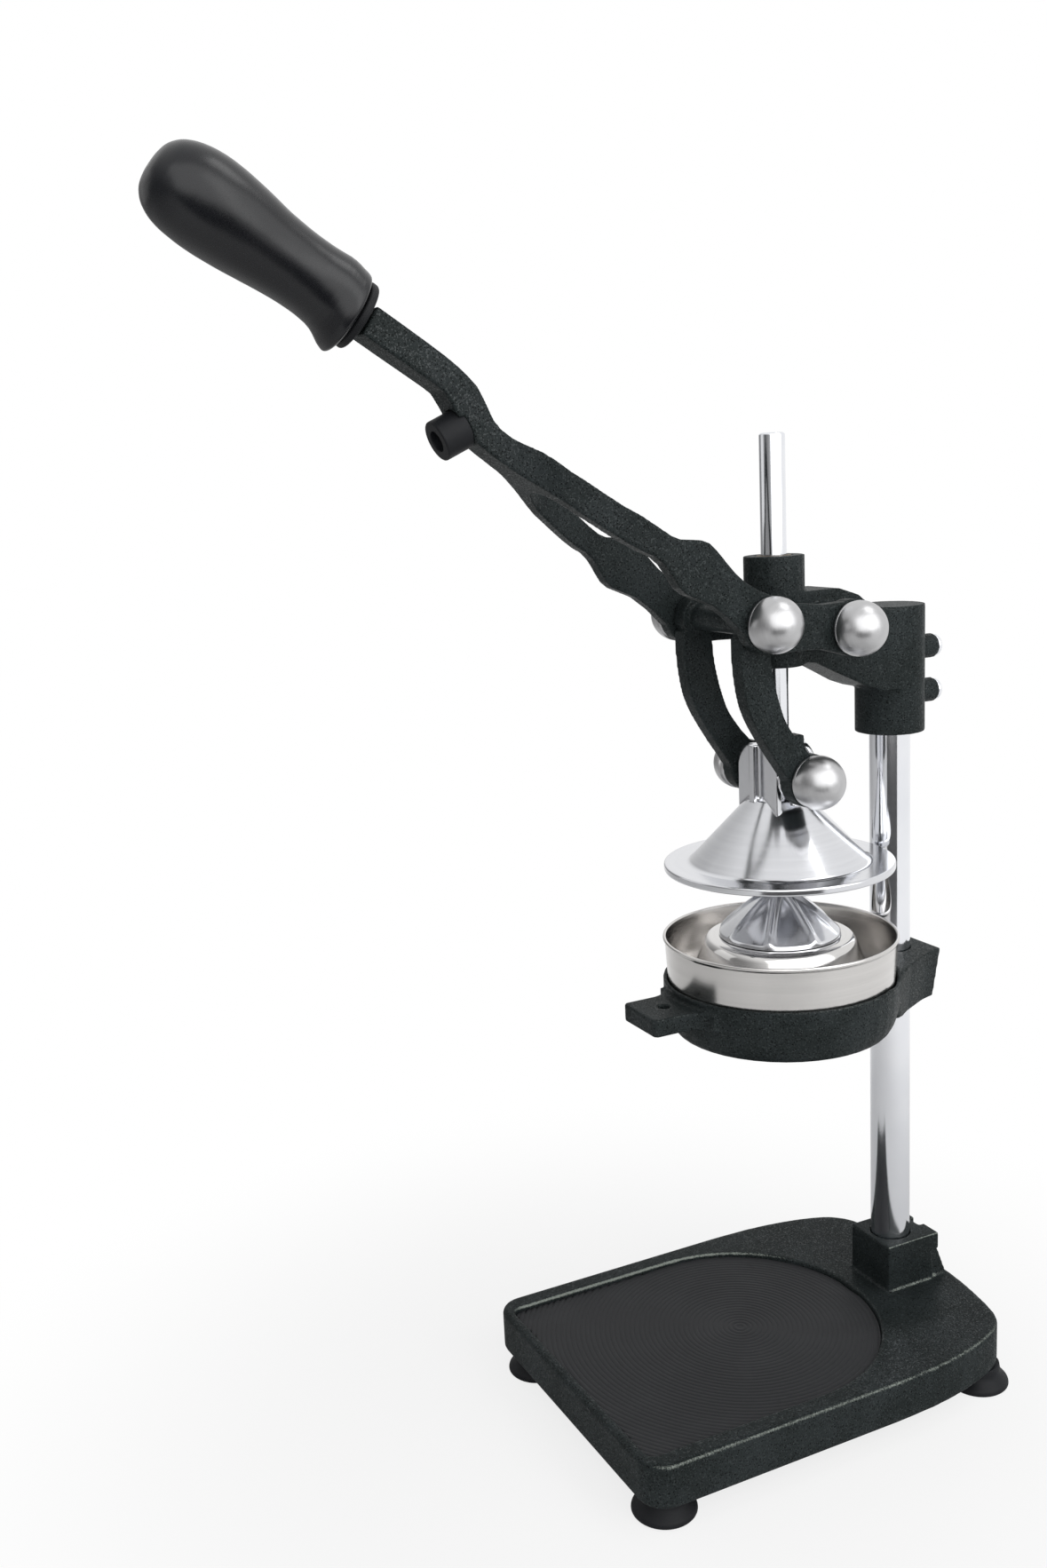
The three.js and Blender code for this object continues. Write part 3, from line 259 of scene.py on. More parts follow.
# %% Chrome bar
def chrome_bar():
    chrome = Finish("chrome", Metallic=1.0)
    x, y, z = chrome.parts()
    rings = chrome.node("ShaderNodeCombineXYZ", {"X": x * 0.05, "Y": y * 0.05, "Z": z})
    grain = chrome.noise(0.35 * mm, 3.0, rings)
    patch = chrome.noise(22 * mm, 2.0)
    chrome.colour(chrome.blend(patch, tone(224, 226, 231), tone(240, 241, 244)))
    chrome.roughness(0.07 + grain * 0.05 + patch * 0.04)
    chrome.relief(grain, 0.004 * mm, 0.5)
    return chrome.material


chrome = chrome_bar()
print("made", chrome.name)


# %% [markdown]
# The bowl, the strainer, the bell and the caps are spun or turned, and keep fine circles from the
# tool. A Wave texture draws rings too, but all alike. Here the distance from the turning axis
# makes the circles, and the angle round the axis keeps the noise from being perfect.

# %% Turned metal round an axis
def turned_metal(name, centre, across, pale, dark, rough, pitch):
    """across names the two coordinates that stand square to the turning axis."""
    metal = Finish(name, Metallic=1.0)
    coordinates = dict(zip("xyz", metal.parts()))
    first = coordinates[across[0]] - getattr(centre, across[0])
    second = coordinates[across[1]] - getattr(centre, across[1])
    along = [coordinates[axis] for axis in "xyz" if axis not in across][0]
    distance = (first * first + second * second).math("SQRT")
    swirl = metal.node("ShaderNodeCombineXYZ", {
        "X": distance, "Y": along, "Z": second.math("ARCTAN2", first) * (0.25 * mm)})
    fine = metal.noise(pitch, 2.0, swirl, 0.6)
    broad = metal.noise(pitch * 9, 2.0, swirl)
    cloud = metal.noise(14 * mm, 2.0)
    metal.colour(metal.blend(fine * 0.5 + broad * 0.5, dark, pale))
    metal.roughness(rough + (fine - 0.5) * 0.12 + (cloud - 0.5) * 0.1)
    metal.relief(fine, 0.008 * mm, 0.5)
    return metal.material


guide_axis = Vector((0, guide_y, 0))
bowl_steel = turned_metal("brushed_steel", guide_axis, "xy",
                          tone(219, 217, 215), tone(194, 192, 190), 0.2, 0.3 * mm)
strainer_steel = turned_metal("polished_steel", guide_axis, "xy",
                              tone(222, 221, 220), tone(206, 204, 202), 0.12, 0.3 * mm)
bell_metal = turned_metal("polished_aluminium", guide_axis, "xy",
                          tone(228, 229, 232), tone(206, 207, 211), 0.16, 0.28 * mm)
cap_steels = {
    name: turned_metal("cap_steel_" + name, centre, "yz", tone(204, 204, 205),
                       tone(172, 172, 173), 0.34, 0.3 * mm)
    for name, centre in (("pivot", pivot), ("link", link), ("bell", bell_pin))}
print("made", bowl_steel.name, strainer_steel.name, bell_metal.name,
      *(steel.name for steel in cap_steels.values()))


# %% [markdown]
# The mat, the feet and the bumper are moulded rubber, and the grip is a smoother moulding. Rubber
# is never one even black: dust lies on it and its skin is a little rough. One recipe serves all
# three, because only the tones, the gloss and the depth of the skin differ.

# %% Rubber and grip
def moulded_rubber(name, pale, dark, rough, lump, depth, gloss=0.2):
    rubber = Finish(name, Specular_IOR_Level=gloss)
    skin = rubber.noise(lump, 3.0)
    dust = rubber.noise(35 * mm, 3.0).between(0.4, 0.75)
    rubber.colour(rubber.blend(dust * 0.7 + skin * 0.3, dark, pale))
    rubber.roughness(rough + (skin - 0.5) * 0.15)
    rubber.relief(skin, depth, 0.7)
    return rubber.material


foot_rubber = moulded_rubber("black_rubber", tone(30, 32, 35), tone(20, 21, 24), 0.55,
                             0.5 * mm, 0.05 * mm)
mat_rubber = moulded_rubber("mat_rubber", tone(48, 49, 51), tone(40, 41, 43), 0.6,
                            0.5 * mm, 0.04 * mm)
grip_rubber = moulded_rubber("grip_rubber", tone(22, 24, 29), tone(13, 14, 18), 0.28,
                             0.8 * mm, 0.015 * mm, 0.4)
print("made", foot_rubber.name, mat_rubber.name, grip_rubber.name)


# %% [markdown]
# The screws are zinc-plated steel and the two bushes are bronze. Little of them is seen, so a
# stain in the colour and a grain in the roughness are enough.

# %% Screws and bushes
def small_metal(name, pale, dark, rough):
    metal = Finish(name, Metallic=1.0)
    stain = metal.noise(2.5 * mm, 3.0)
    grain = metal.noise(0.3 * mm, 2.0)
    metal.colour(metal.blend(stain, dark, pale))
    metal.roughness(rough + (grain - 0.5) * 0.2)
    metal.relief(grain, 0.02 * mm, 0.5)
    return metal.material


screw_steel = small_metal("screw_steel", tone(170, 172, 176), tone(120, 122, 126), 0.38)
bush_bronze = small_metal("bush_bronze", tone(112, 98, 78), tone(78, 66, 50), 0.5)
print("made", screw_steel.name, bush_bronze.name)


# %% [markdown]
# Every CAD node first gets its finish, so that nothing stays bare, not even a pin inside a cap.
# The record names a slot for each node. The caps, the mat and the strainer need more than their
# slot says, so they are looked up by name.

# %% Finishes on the CAD nodes
slot_finishes = {
    "cast_paint": cast_paint, "chrome": chrome, "brushed_steel": bowl_steel,
    "polished_aluminium": bell_metal, "black_rubber": foot_rubber, "grip_rubber": grip_rubber,
    "screw_steel": screw_steel, "bush_bronze": bush_bronze,
}
own_finishes = {"drip_mat": mat_rubber, "strainer": strainer_steel}
slot_of = {part["node"]: part["material_slot"] for part in frame["record"]["subparts"]}
body_of = {node: body for body, nodes in frame["record"]["behaviour"]["bodies"].items()
           for node in nodes}


def finish_for(node):
    """The material for a CAD node."""
    if slot_of[node] == "cap_steel":
        return cap_steels[node.split("_")[0]]
    return own_finishes.get(node) or slot_finishes[slot_of[node]]


for name, node in frame["nodes"].items():
    node.data.materials.clear()
    node.data.materials.append(finish_for(name))
print("dressed", len(frame["nodes"]), "nodes")


# %% [markdown]
# A new piece takes over from its CAD node in three ways: the same finish, the same body to ride
# on, and the node hidden. One helper does all three, so none is forgotten.

# %% Put a new piece in place of a CAD node
def as_mesh(form, name):
    """Ends a bmesh and returns it as a mesh."""
    mesh = bpy.data.meshes.new(name)
    form.to_mesh(mesh)
    form.free()
    return mesh


def in_scene(name, data):
    """An object at the origin of the scene."""
    thing = bpy.data.objects.new(name, data)
    bpy.context.scene.collection.objects.link(thing)
    return thing


def adopt(mesh, name, node):
    """Makes a mesh the piece that stands for a CAD node."""
    mesh.polygons.foreach_set("use_smooth", [True] * len(mesh.polygons))
    mesh.materials.clear()
    mesh.materials.append(finish_for(node))
    piece = in_scene(name, mesh)
    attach(piece, body_of[node])
    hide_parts(node)
    return piece


def settle(form, name, node):
    """Turns a bmesh into the piece that stands for a CAD node."""
    return adopt(as_mesh(form, name), name, node)


print("ready to replace nodes")


# %% [markdown]
# Sand castings have no sharp edges. The CAD solid does, because it was cut from plain shapes.
# A Bevel modifier trips over such cuts. So the solid is rebuilt from small cubes with the Remesh
# modifier, which joins everything into one skin, and smoothed until the edges roll over.

# %% A skin of small cubes
def bare_copy(node):
    """A merged copy of a CAD node's mesh."""
    form = bmesh.new()
    form.from_mesh(frame["nodes"][node].data)
    bmesh.ops.remove_doubles(form, verts=form.verts, dist=0.005 * mm)
    return as_mesh(form, node + "_copy")


def worked(body):
    """The mesh that an object's modifiers make. The object itself goes."""
    graph = bpy.context.evaluated_depsgraph_get()
    mesh = bpy.data.meshes.new_from_object(body.evaluated_get(graph))
    bpy.data.objects.remove(body)
    return mesh


def voxel_skin(mesh, cube, rounds):
    """A mesh rebuilt as one skin of faces about cube wide, and smoothed."""
    rough = in_scene("rough", mesh)
    remesh = rough.modifiers.new("skin", "REMESH")
    remesh.mode = "VOXEL"
    remesh.voxel_size = cube
    smooth = rough.modifiers.new("roll", "SMOOTH")
    smooth.factor = 0.5
    smooth.iterations = rounds
    return worked(rough)


print("ready to rebuild a casting")


# %% [markdown]
# The holder's arms run into its ring in wide hollows that the CAD only makes of straight cuts.
# More smoothing everywhere would melt the rest, so the Smooth modifier gets a vertex group that
# fades out from the upright line through each hollow. A skin that has too many triangles to hand
# over is thinned a little with Decimate, which takes them where the surface is flattest.

# %% Smooth some places more, and thin a heavy skin
most_triangles = 190000


def blended(mesh, hollows, reach):
    """Smooths a skin round the upright lines through the hollows, as far as reach."""
    rough = in_scene("hollowed", mesh)
    near = rough.vertex_groups.new(name="near")
    for vert in mesh.vertices:
        away = min(math.hypot(vert.co.x - x, vert.co.y - y) for x, y in hollows)
        if away < reach:
            near.add([vert.index], min(1.0, 2 - 2 * away / reach), "REPLACE")
    blend = rough.modifiers.new("blend", "SMOOTH")
    blend.vertex_group = "near"
    blend.factor = 0.5
    blend.iterations = 90
    return worked(rough)


def thinned(mesh):
    """A skin of quads with no more than most_triangles triangles."""
    triangles = 2 * len(mesh.polygons)
    if triangles <= most_triangles:
        return mesh
    rough = in_scene("heavy", mesh)
    thin = rough.modifiers.new("thin", "DECIMATE")
    thin.ratio = most_triangles / triangles
    return worked(rough)


print("skins are kept under", most_triangles, "triangles")


# %% [markdown]
# On the real press the paint is rubbed bright along the edges. The paling here is also a painted
# highlight, so it goes most to the edges that face up and to the right, where the lamps stand.
# The Geometry node's Pointiness finds edges too, but on all sides alike. So each vertex learns
# how sharply the skin turns there, weighted by how much it faces the lamps, as a number in the
# mesh.

# %% Mark the edges that wear and get a painted highlight
# The way the lamps stand, up and to the right: edges that face it get the painted highlight.
wear_and_highlight_way = Vector((0.7, 0, 0.7)).normalized()


def mark_edges(mesh, bend, edge_wear_and_highlight):
    """Stores how sharply the skin turns at each vertex that faces the lamps' way, for wear and a
    painted highlight.
    """
    form = bmesh.new()
    form.from_mesh(mesh)
    form.verts.ensure_lookup_table()
    turn = []
    for vert in form.verts:
        around = [edge.other_vert(vert).co for edge in vert.link_edges]
        middle_of = sum(around, Vector()) / len(around)
        towards = max(0.0, vert.normal.dot(wear_and_highlight_way)) ** 3
        turn.append(abs((vert.co - middle_of).dot(vert.normal)) / bend * towards)
    for _ in range(2):
        turn = [(turn[v.index] + sum(turn[e.other_vert(v).index] for e in v.link_edges))
                / (1 + len(v.link_edges)) for v in form.verts]
    form.free()
    layer = mesh.attributes.new("edge", "FLOAT", "POINT")
    layer.data.foreach_set("value", [min(1.0, value) * edge_wear_and_highlight for value in turn])


print("edges wear towards", [round(part, 2) for part in wear_and_highlight_way])


# %% [markdown]
# The press has five castings: the base, the head, the holder, the lever and the yoke. Each is
# softened with cubes of a size that keeps its smallest corners. The base gets the strongest
# paling of its edges, as worn paint and painted highlight together.

# %% The five castings
def softened(node, name, cube, rounds, edge_wear_and_highlight, hollows=(), reach=0.0):
    """A smooth copy of a casting. Wear and a painted highlight pale its edges."""
    mesh = voxel_skin(bare_copy(node), cube, rounds)
    if hollows:
        mesh = blended(mesh, hollows, reach)
    mark_edges(mesh, 0.1 * cube, edge_wear_and_highlight)
    mesh = thinned(mesh)
    print(name, "has", len(mesh.polygons), "faces")
    return adopt(mesh, name, node)


holder_hollows = [(side * 37 * mm, column_y - 29 * mm) for side in (-1, 1)]
softened("base_casting", "base_body", 0.8 * mm, 3, 1.0)
softened("head_casting", "press_head", 0.62 * mm, 4, 0.35)
softened("holder_casting", "bowl_holder", 0.63 * mm, 4, 0.5, holder_hollows, 15 * mm)
softened("lever_casting", "hand_lever", 0.62 * mm, 4, 0.3)
softened("yoke", "curved_yoke", 0.56 * mm, 4, 0.25)


# %% [markdown]
# Bars, caps, cups and the grip are all bodies of revolution. Cylinders and cones could be joined
# for each, but their seams would show. So an outline is typed as points of radius and height in
# millimetres. A third number says how far its corner is eased, because no real edge is sharp.

# %% Ease the corners of an outline
def eased(points, radius, steps=4):
    """Rounds the corners between the first and the last point of an outline."""
    out = [points[0]]
    for before, corner, after in zip(points, points[1:], points[2:]):
        corner_point = Vector(corner[:2])
        to_before = Vector(before[:2]) - corner_point
        to_after = Vector(after[:2]) - corner_point
        own = corner[2] if len(corner) > 2 else radius
        reach = min(own, to_before.length * 0.45, to_after.length * 0.45)
        if reach < 1e-4:
            out.append(tuple(corner_point))
            continue
        begin = corner_point + to_before.normalized() * reach
        end = corner_point + to_after.normalized() * reach
        for step in range(steps + 1):
            t = step / steps
            out.append(tuple((1 - t) ** 2 * begin + 2 * t * (1 - t) * corner_point + t * t * end))
    out.append(points[-1])
    return [point[:2] for point in out]


print("a square corner becomes", len(eased([(0, 0), (1, 0), (1, 1)], 0.3)) - 2, "points")


# %% [markdown]
# The spin operator then turns the outline into a closed skin, as a lathe does. It is spun round
# the z axis and moved to its place afterwards, so one helper serves upright and leaning pieces.
# The Weighted Normal modifier keeps flat faces flat where they meet a rounded corner.

# %% Turn an outline round an axis
def turned(points, place, steps=96):
    """Spins an outline of (radius, height) in millimetres and moves it to its place."""
    form = bmesh.new()
    rail = [form.verts.new((radius * mm, 0, height * mm)) for radius, height in points]
    lines = [form.edges.new(pair) for pair in zip(rail, rail[1:])]
    bmesh.ops.spin(form, geom=rail + lines, cent=(0, 0, 0), axis=(0, 0, 1), dvec=(0, 0, 0),
                   angle=math.tau, steps=steps, use_merge=True)
    bmesh.ops.remove_doubles(form, verts=form.verts, dist=1e-4 * mm)
    bmesh.ops.recalc_face_normals(form, faces=form.faces)
    bmesh.ops.transform(form, matrix=place, verts=form.verts)
    return form


def crisp(piece, degrees=35):
    """Keeps edges that turn by more than this sharp, and the rest smooth."""
    piece.data.set_sharp_from_angle(angle=math.radians(degrees))
    weighted = piece.modifiers.new("weighted", "WEIGHTED_NORMAL")
    weighted.keep_sharp = True
    return piece


def axis_from(start, direction):
    """An axis that starts here and runs this way."""
    return Matrix.Translation(start) @ direction.to_track_quat("Z", "Y").to_matrix().to_4x4()


on_column = Matrix.Translation((0, column_y, 0))
on_guide = Matrix.Translation((0, guide_y, 0))
print("ready to turn round the column, the guide or any other axis")


# %% [markdown]
# The column and the guide rod are cut from bar. A cylinder would do, but their ends have a small
# chamfer from the lathe that catches the light, and the outline gives that for nothing.

# %% Column and guide rod
def bar(node, radius, place, chamfer):
    low, high = (corner[2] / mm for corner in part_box(node))
    outline = [(0, low), (radius - chamfer, low), (radius, low + chamfer),
               (radius, high - chamfer), (radius - chamfer, high), (0, high)]
    piece = settle(turned(eased(outline, 0.3, 3), place, 64), node + "_bar", node)
    print(piece.name, "is", round(high - low, 1), "mm long")
    return crisp(piece)


bar("column", 10.0, on_column, 0.6)
bar("guide_rod", 6.0, on_guide, 0.8)


# %% [markdown]
# Each of the three pins ends in a domed cap on both sides: a thin rim against the casting, a
# narrow groove, and a ball. A sphere cut in half would miss the rim and the groove, so the
# outline holds all three, and the ball's part of it is worked out as an arc.

# %% Dome caps
ball_radius = 12.7
ball_centre = 16.7 - ball_radius
groove_height = 3.1
arc_steps = 16
cap_outline = [(0, 0), (11.4, 0), (12.2, 0.6, 0.4), (12.2, 1.8, 0.35), (11.6, 2.5, 0.3)]
first_angle = math.asin((groove_height - ball_centre) / ball_radius)
for step in range(arc_steps + 1):
    angle = first_angle + (math.pi / 2 - first_angle) * step / arc_steps
    cap_outline.append((ball_radius * math.cos(angle),
                        ball_centre + ball_radius * math.sin(angle), 0))


def dome_cap(node):
    low, high = (Vector(corner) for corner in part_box(node))
    centre = (low + high) / 2
    side = 1 if centre.x > 0 else -1
    centre.x = low.x if side > 0 else high.x
    form = turned(eased(cap_outline, 0.2, 3), axis_from(centre, Vector((side, 0, 0))), 72)
    return crisp(settle(form, node + "_dome", node), 50)


for pin in ("pivot", "link", "bell"):
    for hand in ("right", "left"):
        dome_cap(pin + "_cap_" + hand)
print("six caps, ball radius", ball_radius, "mm")


# %% [markdown]
# The press bell is turned from a casting: a thin flange, a straight cone and a neck. The cone is
# spun. The neck is a block of plates that no outline can give, so it comes from the CAD solid,
# cut off above the cone with bisect_plane, softened like the castings and set down into the spun
# cone, which hides the cut.

# %% Press bell
bell_outline = [(39.0, 268.3), (55.0, 268.3), (55.3, 268.9), (55.3, 271.1), (54.8, 271.7),
                (43.4, 271.7, 1.6), (13.9, 303.0, 1.0), (0, 303.0)]
bell_inner = [(0, 294.0), (18.7, 294.0, 3.0), (39.0, 268.3)]
neck_cut = 296.5 * mm


def bell_neck():
    neck = bmesh.new()
    neck.from_mesh(bare_copy("press_bell"))
    cut = bmesh.ops.bisect_plane(
        neck, geom=neck.verts[:] + neck.edges[:] + neck.faces[:], plane_co=(0, 0, neck_cut),
        plane_no=(0, 0, 1), clear_inner=True)
    rim = [item for item in cut["geom_cut"] if isinstance(item, bmesh.types.BMEdge)]
    bmesh.ops.holes_fill(neck, edges=rim)
    return voxel_skin(as_mesh(neck, "neck_rough"), 0.55 * mm, 4)


def press_bell():
    form = turned(eased(bell_outline, 0.4, 4) + eased(bell_inner, 0.4, 4), on_guide, 128)
    form.from_mesh(bell_neck())
    return crisp(settle(form, "press_cone", "press_bell"), 50)


bell = press_bell()
print("bell has", len(bell.data.polygons), "faces")


# %% [markdown]
# The bowl is pressed from thin steel sheet, with a rolled rim and a drain at the bottom. Solidify
# could thicken a single wall, but a rolled rim needs its own shape. So one outline runs up the
# outside, over the rim and back down the inside.

# %% Bowl
bowl_outline = [
    (10.0, 189.4, 0.3), (10.0, 192.5, 1.0), (45.0, 192.5, 3.0), (48.6, 194.5, 2.0),
    (49.6, 197.5, 2.0), (49.6, 207.5, 0.8), (53.8, 207.5, 0.8), (54.8, 208.5, 0.8),
    (56.2, 232.6, 0.6), (57.0, 233.4, 0.6), (57.0, 234.4, 0.5), (56.4, 235.0, 0.4),
    (55.5, 234.6, 0.4), (55.2, 232.6, 0.5), (53.8, 209.5, 0.6), (52.8, 208.5, 0.5),
    (48.6, 208.5, 0.6), (48.6, 197.5, 2.0), (45.0, 193.5, 2.0), (9.0, 193.5, 1.0),
    (9.0, 189.4, 0.3)]
bowl_ring = [bowl_outline[-1][:2]] + bowl_outline + [bowl_outline[0]]
bowl = settle(turned(eased(bowl_ring, 0.3, 4)[1:], on_guide, 128), "steel_bowl", "bowl")
crisp(bowl, 60)
print("bowl has", len(bowl.data.polygons), "faces")


# %% [markdown]
# The grip is a swelling body with a lip on its under side that stops the hand. Sculpting would
# give such a shape, but not the same one twice. So the grip is spun as a round body, laid along
# the lever, and each of its round sections is slid a little up or down by a short table. That
# bends the neck upwards and leaves the lip standing out below. The end at the lever is slanted
# slightly.

# %% Grip
lean = math.radians(37.2)
along_grip = Vector((0, -math.cos(lean), math.sin(lean)))
above_grip = Vector((0, along_grip.z, -along_grip.y))
grip_start = Vector((0, pivot.y - 218.7 * mm, pivot.z + 140.4 * mm))
end_slant = 0.06
slant_reach = 12
grip_outline = [
    (5.3, -0.8), (14.6, -0.8, 0.6), (17.5, 0.5, 1.2), (17.4, 3.0, 2.0), (16.2, 8.5, 3.0),
    (15.7, 12.0, 2.0), (15.1, 18.0, 5.0), (15.1, 27.0, 6.0), (16.1, 39.0, 6.0),
    (17.7, 50.0, 6.0), (18.7, 61.0, 5.0), (18.8, 68.5, 5.0), (18.1, 75.5, 4.0),
    (16.6, 81.1, 3.5), (13.7, 86.2, 3.0), (9.3, 89.6, 3.0), (4.0, 90.7, 2.5), (0, 90.7)]
grip_sway = [(-2, 0.2), (1.3, 0.3), (4, 1.0), (6.5, 2.0), (9, 2.7), (11.6, 3.0), (16, 2.8),
             (22, 2.4), (30, 1.8), (40, 1.1), (55, 0.6), (70, 0.1), (80, -0.5), (92, -0.9)]


def swayed(form, sway):
    """Slides the sections of a form across the grip's axis, by a table of heights and slides."""
    for vertex in form.verts:
        height = (vertex.co - grip_start).dot(along_grip) / mm
        side = (vertex.co - grip_start).dot(above_grip)
        for (low, before), (high, after) in zip(sway, sway[1:]):
            if height <= high:
                break
        slide = before + (after - before) * (height - low) / (high - low)
        fade = max(0, 1 - max(0, height) / slant_reach)
        vertex.co += above_grip * slide * mm + along_grip * side * end_slant * fade
    return form


grip_form = turned(eased(grip_outline, 0.5, 8), axis_from(grip_start, along_grip), 96)
grip = crisp(settle(swayed(grip_form, grip_sway), "hand_grip", "grip"), 60)
print("grip starts at", [round(part / mm, 1) for part in grip_start])


# %% [markdown]
# A black collar sits between the grip and the lever, and a rubber bumper with a bored end hangs
# under the crank. Both are plain turned pieces. The collar follows the grip's neck, so it is slid
# by the same helper.

# %% Collar and bumper
collar_outline = [(5.3, 0.0), (13.6, 0.0, 0.5), (14.2, 0.8, 0.5), (14.2, 2.8, 0.5),
                  (13.6, 3.6, 0.4), (5.3, 3.6)]
collar_sway = [(-9, 2.0), (9, 2.0)]
collar_start = grip_start - along_grip * 4.7 * mm
collar_form = turned(eased(collar_outline, 0.4, 4), axis_from(collar_start, along_grip), 72)
crisp(settle(swayed(collar_form, collar_sway), "collar", "grip_collar"), 60)

bumper_lean = math.radians(-24)
bumper_length = 13.0
along_bumper = Vector((0, -math.cos(bumper_lean), math.sin(bumper_lean)))
bumper_tip = Vector((0, pivot.y - 183.8 * mm, pivot.z + 90.1 * mm))
bumper_start = bumper_tip - along_bumper * bumper_length * mm
bumper_outline = [(0, 0), (8.7, 0.0, 0.4), (8.7, bumper_length, 0.9), (4.6, bumper_length, 0.5),
                  (4.6, 6.5, 0.3), (0, 6.5)]
bumper_form = turned(eased(bumper_outline, 0.4, 5), axis_from(bumper_start, along_bumper), 64)
crisp(settle(bumper_form, "bumper", "lever_bumper"), 50)
print("bumper starts at", [round(part / mm, 1) for part in bumper_start])


# %% [markdown]
# The mat lies in the recess of the base. It carries fine rings round the middle of its rounded
# end. The rings are real steps in the mesh, so that they are part of the shape and not only of
# its shading: a ringed disc is turned, and a Boolean cuts it to the outline of the CAD mat.

# %% Drip mat
ring_pitch = 2.5
ring_depth = 0.25
ring_count = 53
front_to_centre = 190.1 - 95.6


def kept_shape(mesh, tool, operation):
    """The mesh after a Boolean with another one."""
    body = in_scene("body", mesh)
    other = in_scene("tool", tool)
    change = body.modifiers.new("cut", "BOOLEAN")
    change.operation = operation
    change.object = other
    change.solver = "EXACT"
    result = worked(body)
    bpy.data.objects.remove(other)
    return result


def drip_mat():
    low, high = (Vector(corner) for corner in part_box("drip_mat"))
    below, top = low.z / mm - 1, high.z / mm
    outline = [(0, below), (136, below)]
    for ring in range(ring_count, 0, -1):
        radius = ring * ring_pitch
        outline += [(radius + 0.7, top), (radius - 0.7, top), (radius - 1.1, top - ring_depth),
                    (radius - 1.4, top - ring_depth)]
    outline.append((0, top - ring_depth))
    centre = Matrix.Translation((0, low.y + front_to_centre * mm, 0))
    disc = as_mesh(turned(outline, centre, 120), "rings")
    mesh = kept_shape(bare_copy("drip_mat"), disc, "INTERSECT")
    print("mat has", len(mesh.polygons), "faces")
    return crisp(adopt(mesh, "ringed_mat", "drip_mat"), 40)


drip_mat()


# %% [markdown]
# A screw with a socket for a hexagon key is not quite round. Cutting the socket with a Boolean
# leaves ragged faces on such a small piece. So the socket is turned round first, and then its
# wall is pulled in to six flats.

# %% Screws with a hexagon socket
def six_flats(form, radius):
    """Pulls the wall of a round socket in to a hexagon. The axis is still the z axis."""
    for vert in form.verts:
        out = math.hypot(vert.co.x, vert.co.y)
        if abs(out - radius * mm) < 0.02 * mm:
            turn = math.atan2(vert.co.y, vert.co.x) % (math.pi / 3) - math.pi / 6
            share = math.cos(math.pi / 6) / math.cos(turn)
            vert.co.x *= share
            vert.co.y *= share


def screw(node, outline, socket, place):
    form = turned(eased(outline, 0.15, 2), Matrix(), 48)
    six_flats(form, socket)
    bmesh.ops.transform(form, matrix=place, verts=form.verts)
    return crisp(settle(form, node + "_turned", node), 40)


print("ready to make screws")


# %% [markdown]
# The base stands on four rubber feet: a wide lip at the bottom, a waist, and a flat top against
# the casting. A screw goes up through each one, with its head sunk in a bore from below. All four
# are alike, so a loop sets them down where the CAD has its own.

# %% Feet and their screws
foot_outline = [
    (2.3, 11.7), (2.3, 5.4), (4.6, 5.4, 0.4), (4.6, 0, 0.5), (14.1, 0, 0.9), (15.2, 1.2, 0.7),
    (14.9, 3.0, 1.2), (13.1, 4.9, 1.8), (11.2, 7.2, 2.0), (10.5, 11.7, 0.3), (2.3, 11.7)]
foot_screw_outline = [
    (0, 4.1), (1.6, 4.1, 0), (1.6, 2.7, 0), (3.5, 2.7, 0.4), (4.0, 3.4, 0.5), (4.0, 5.1),
    (2.0, 5.1), (2.0, 21.0), (0, 21.0)]
for place in ("front_right", "front_left", "rear_right", "rear_left"):
    centre = middle("foot_" + place)
    spot = Matrix.Translation((centre.x, centre.y, 0))
    foot_form = turned(eased(foot_outline, 0.3, 4), spot, 72)
    crisp(settle(foot_form, "rubber_foot_" + place, "foot_" + place), 50)
    screw("foot_screw_" + place, foot_screw_outline, 1.6, spot)
    print("foot", place, "at", round(centre.x / mm, 1), round(centre.y / mm, 1))


# %% [markdown]
# Behind the column, small set screws hold the base and the holder, and two dome nuts clamp the
# head. They are hardly seen, but the press is looked at from all sides. Their places are read
# from the CAD boxes.

# %% Set screws and dome nuts
backwards = Vector((0, 1, 0))
set_screw_outline = [(0, 0), (1.3, 0), (3.0, 1.7), (3.0, 6.5), (2.5, 7.0), (1.7, 7.0, 0),
                     (1.7, 4.2, 0), (0, 4.0)]
nut_band = 1.4
nut_steps = 12
nut_outline = [(2.7, 2.2), (2.7, 0), (5.4, 0, 0.2), (5.4, nut_band, 0.5)]
for step in range(1, nut_steps + 1):
    angle = math.pi / 2 * step / nut_steps
    nut_outline.append((5.1 * math.cos(angle), nut_band + 2.6 * math.sin(angle), 0))
nut_outline += [(0, 2.2), (2.7, 2.2)]


def from_front(node):
    """The axis that runs back from the middle of a node's front."""
    centre = middle(node)
    centre.x = 0
    centre.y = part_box(node)[0][1]
    return axis_from(centre, backwards)


for node in ("base_set_screw", "holder_set_screw"):
    screw(node, set_screw_outline, 1.7, from_front(node))
for node in ("clamp_nut_upper", "clamp_nut_lower"):
    nut_form = turned(eased(nut_outline, 0.2, 3), from_front(node), 64)
    crisp(settle(nut_form, node + "_dome", node), 50)
print("two set screws and two dome nuts")


# %% [markdown]
# The guide rod slides in two bronze bushes, of which only a thin ring shows. The bumper is held
# by one screw, whose head sits in the bore of its free end.

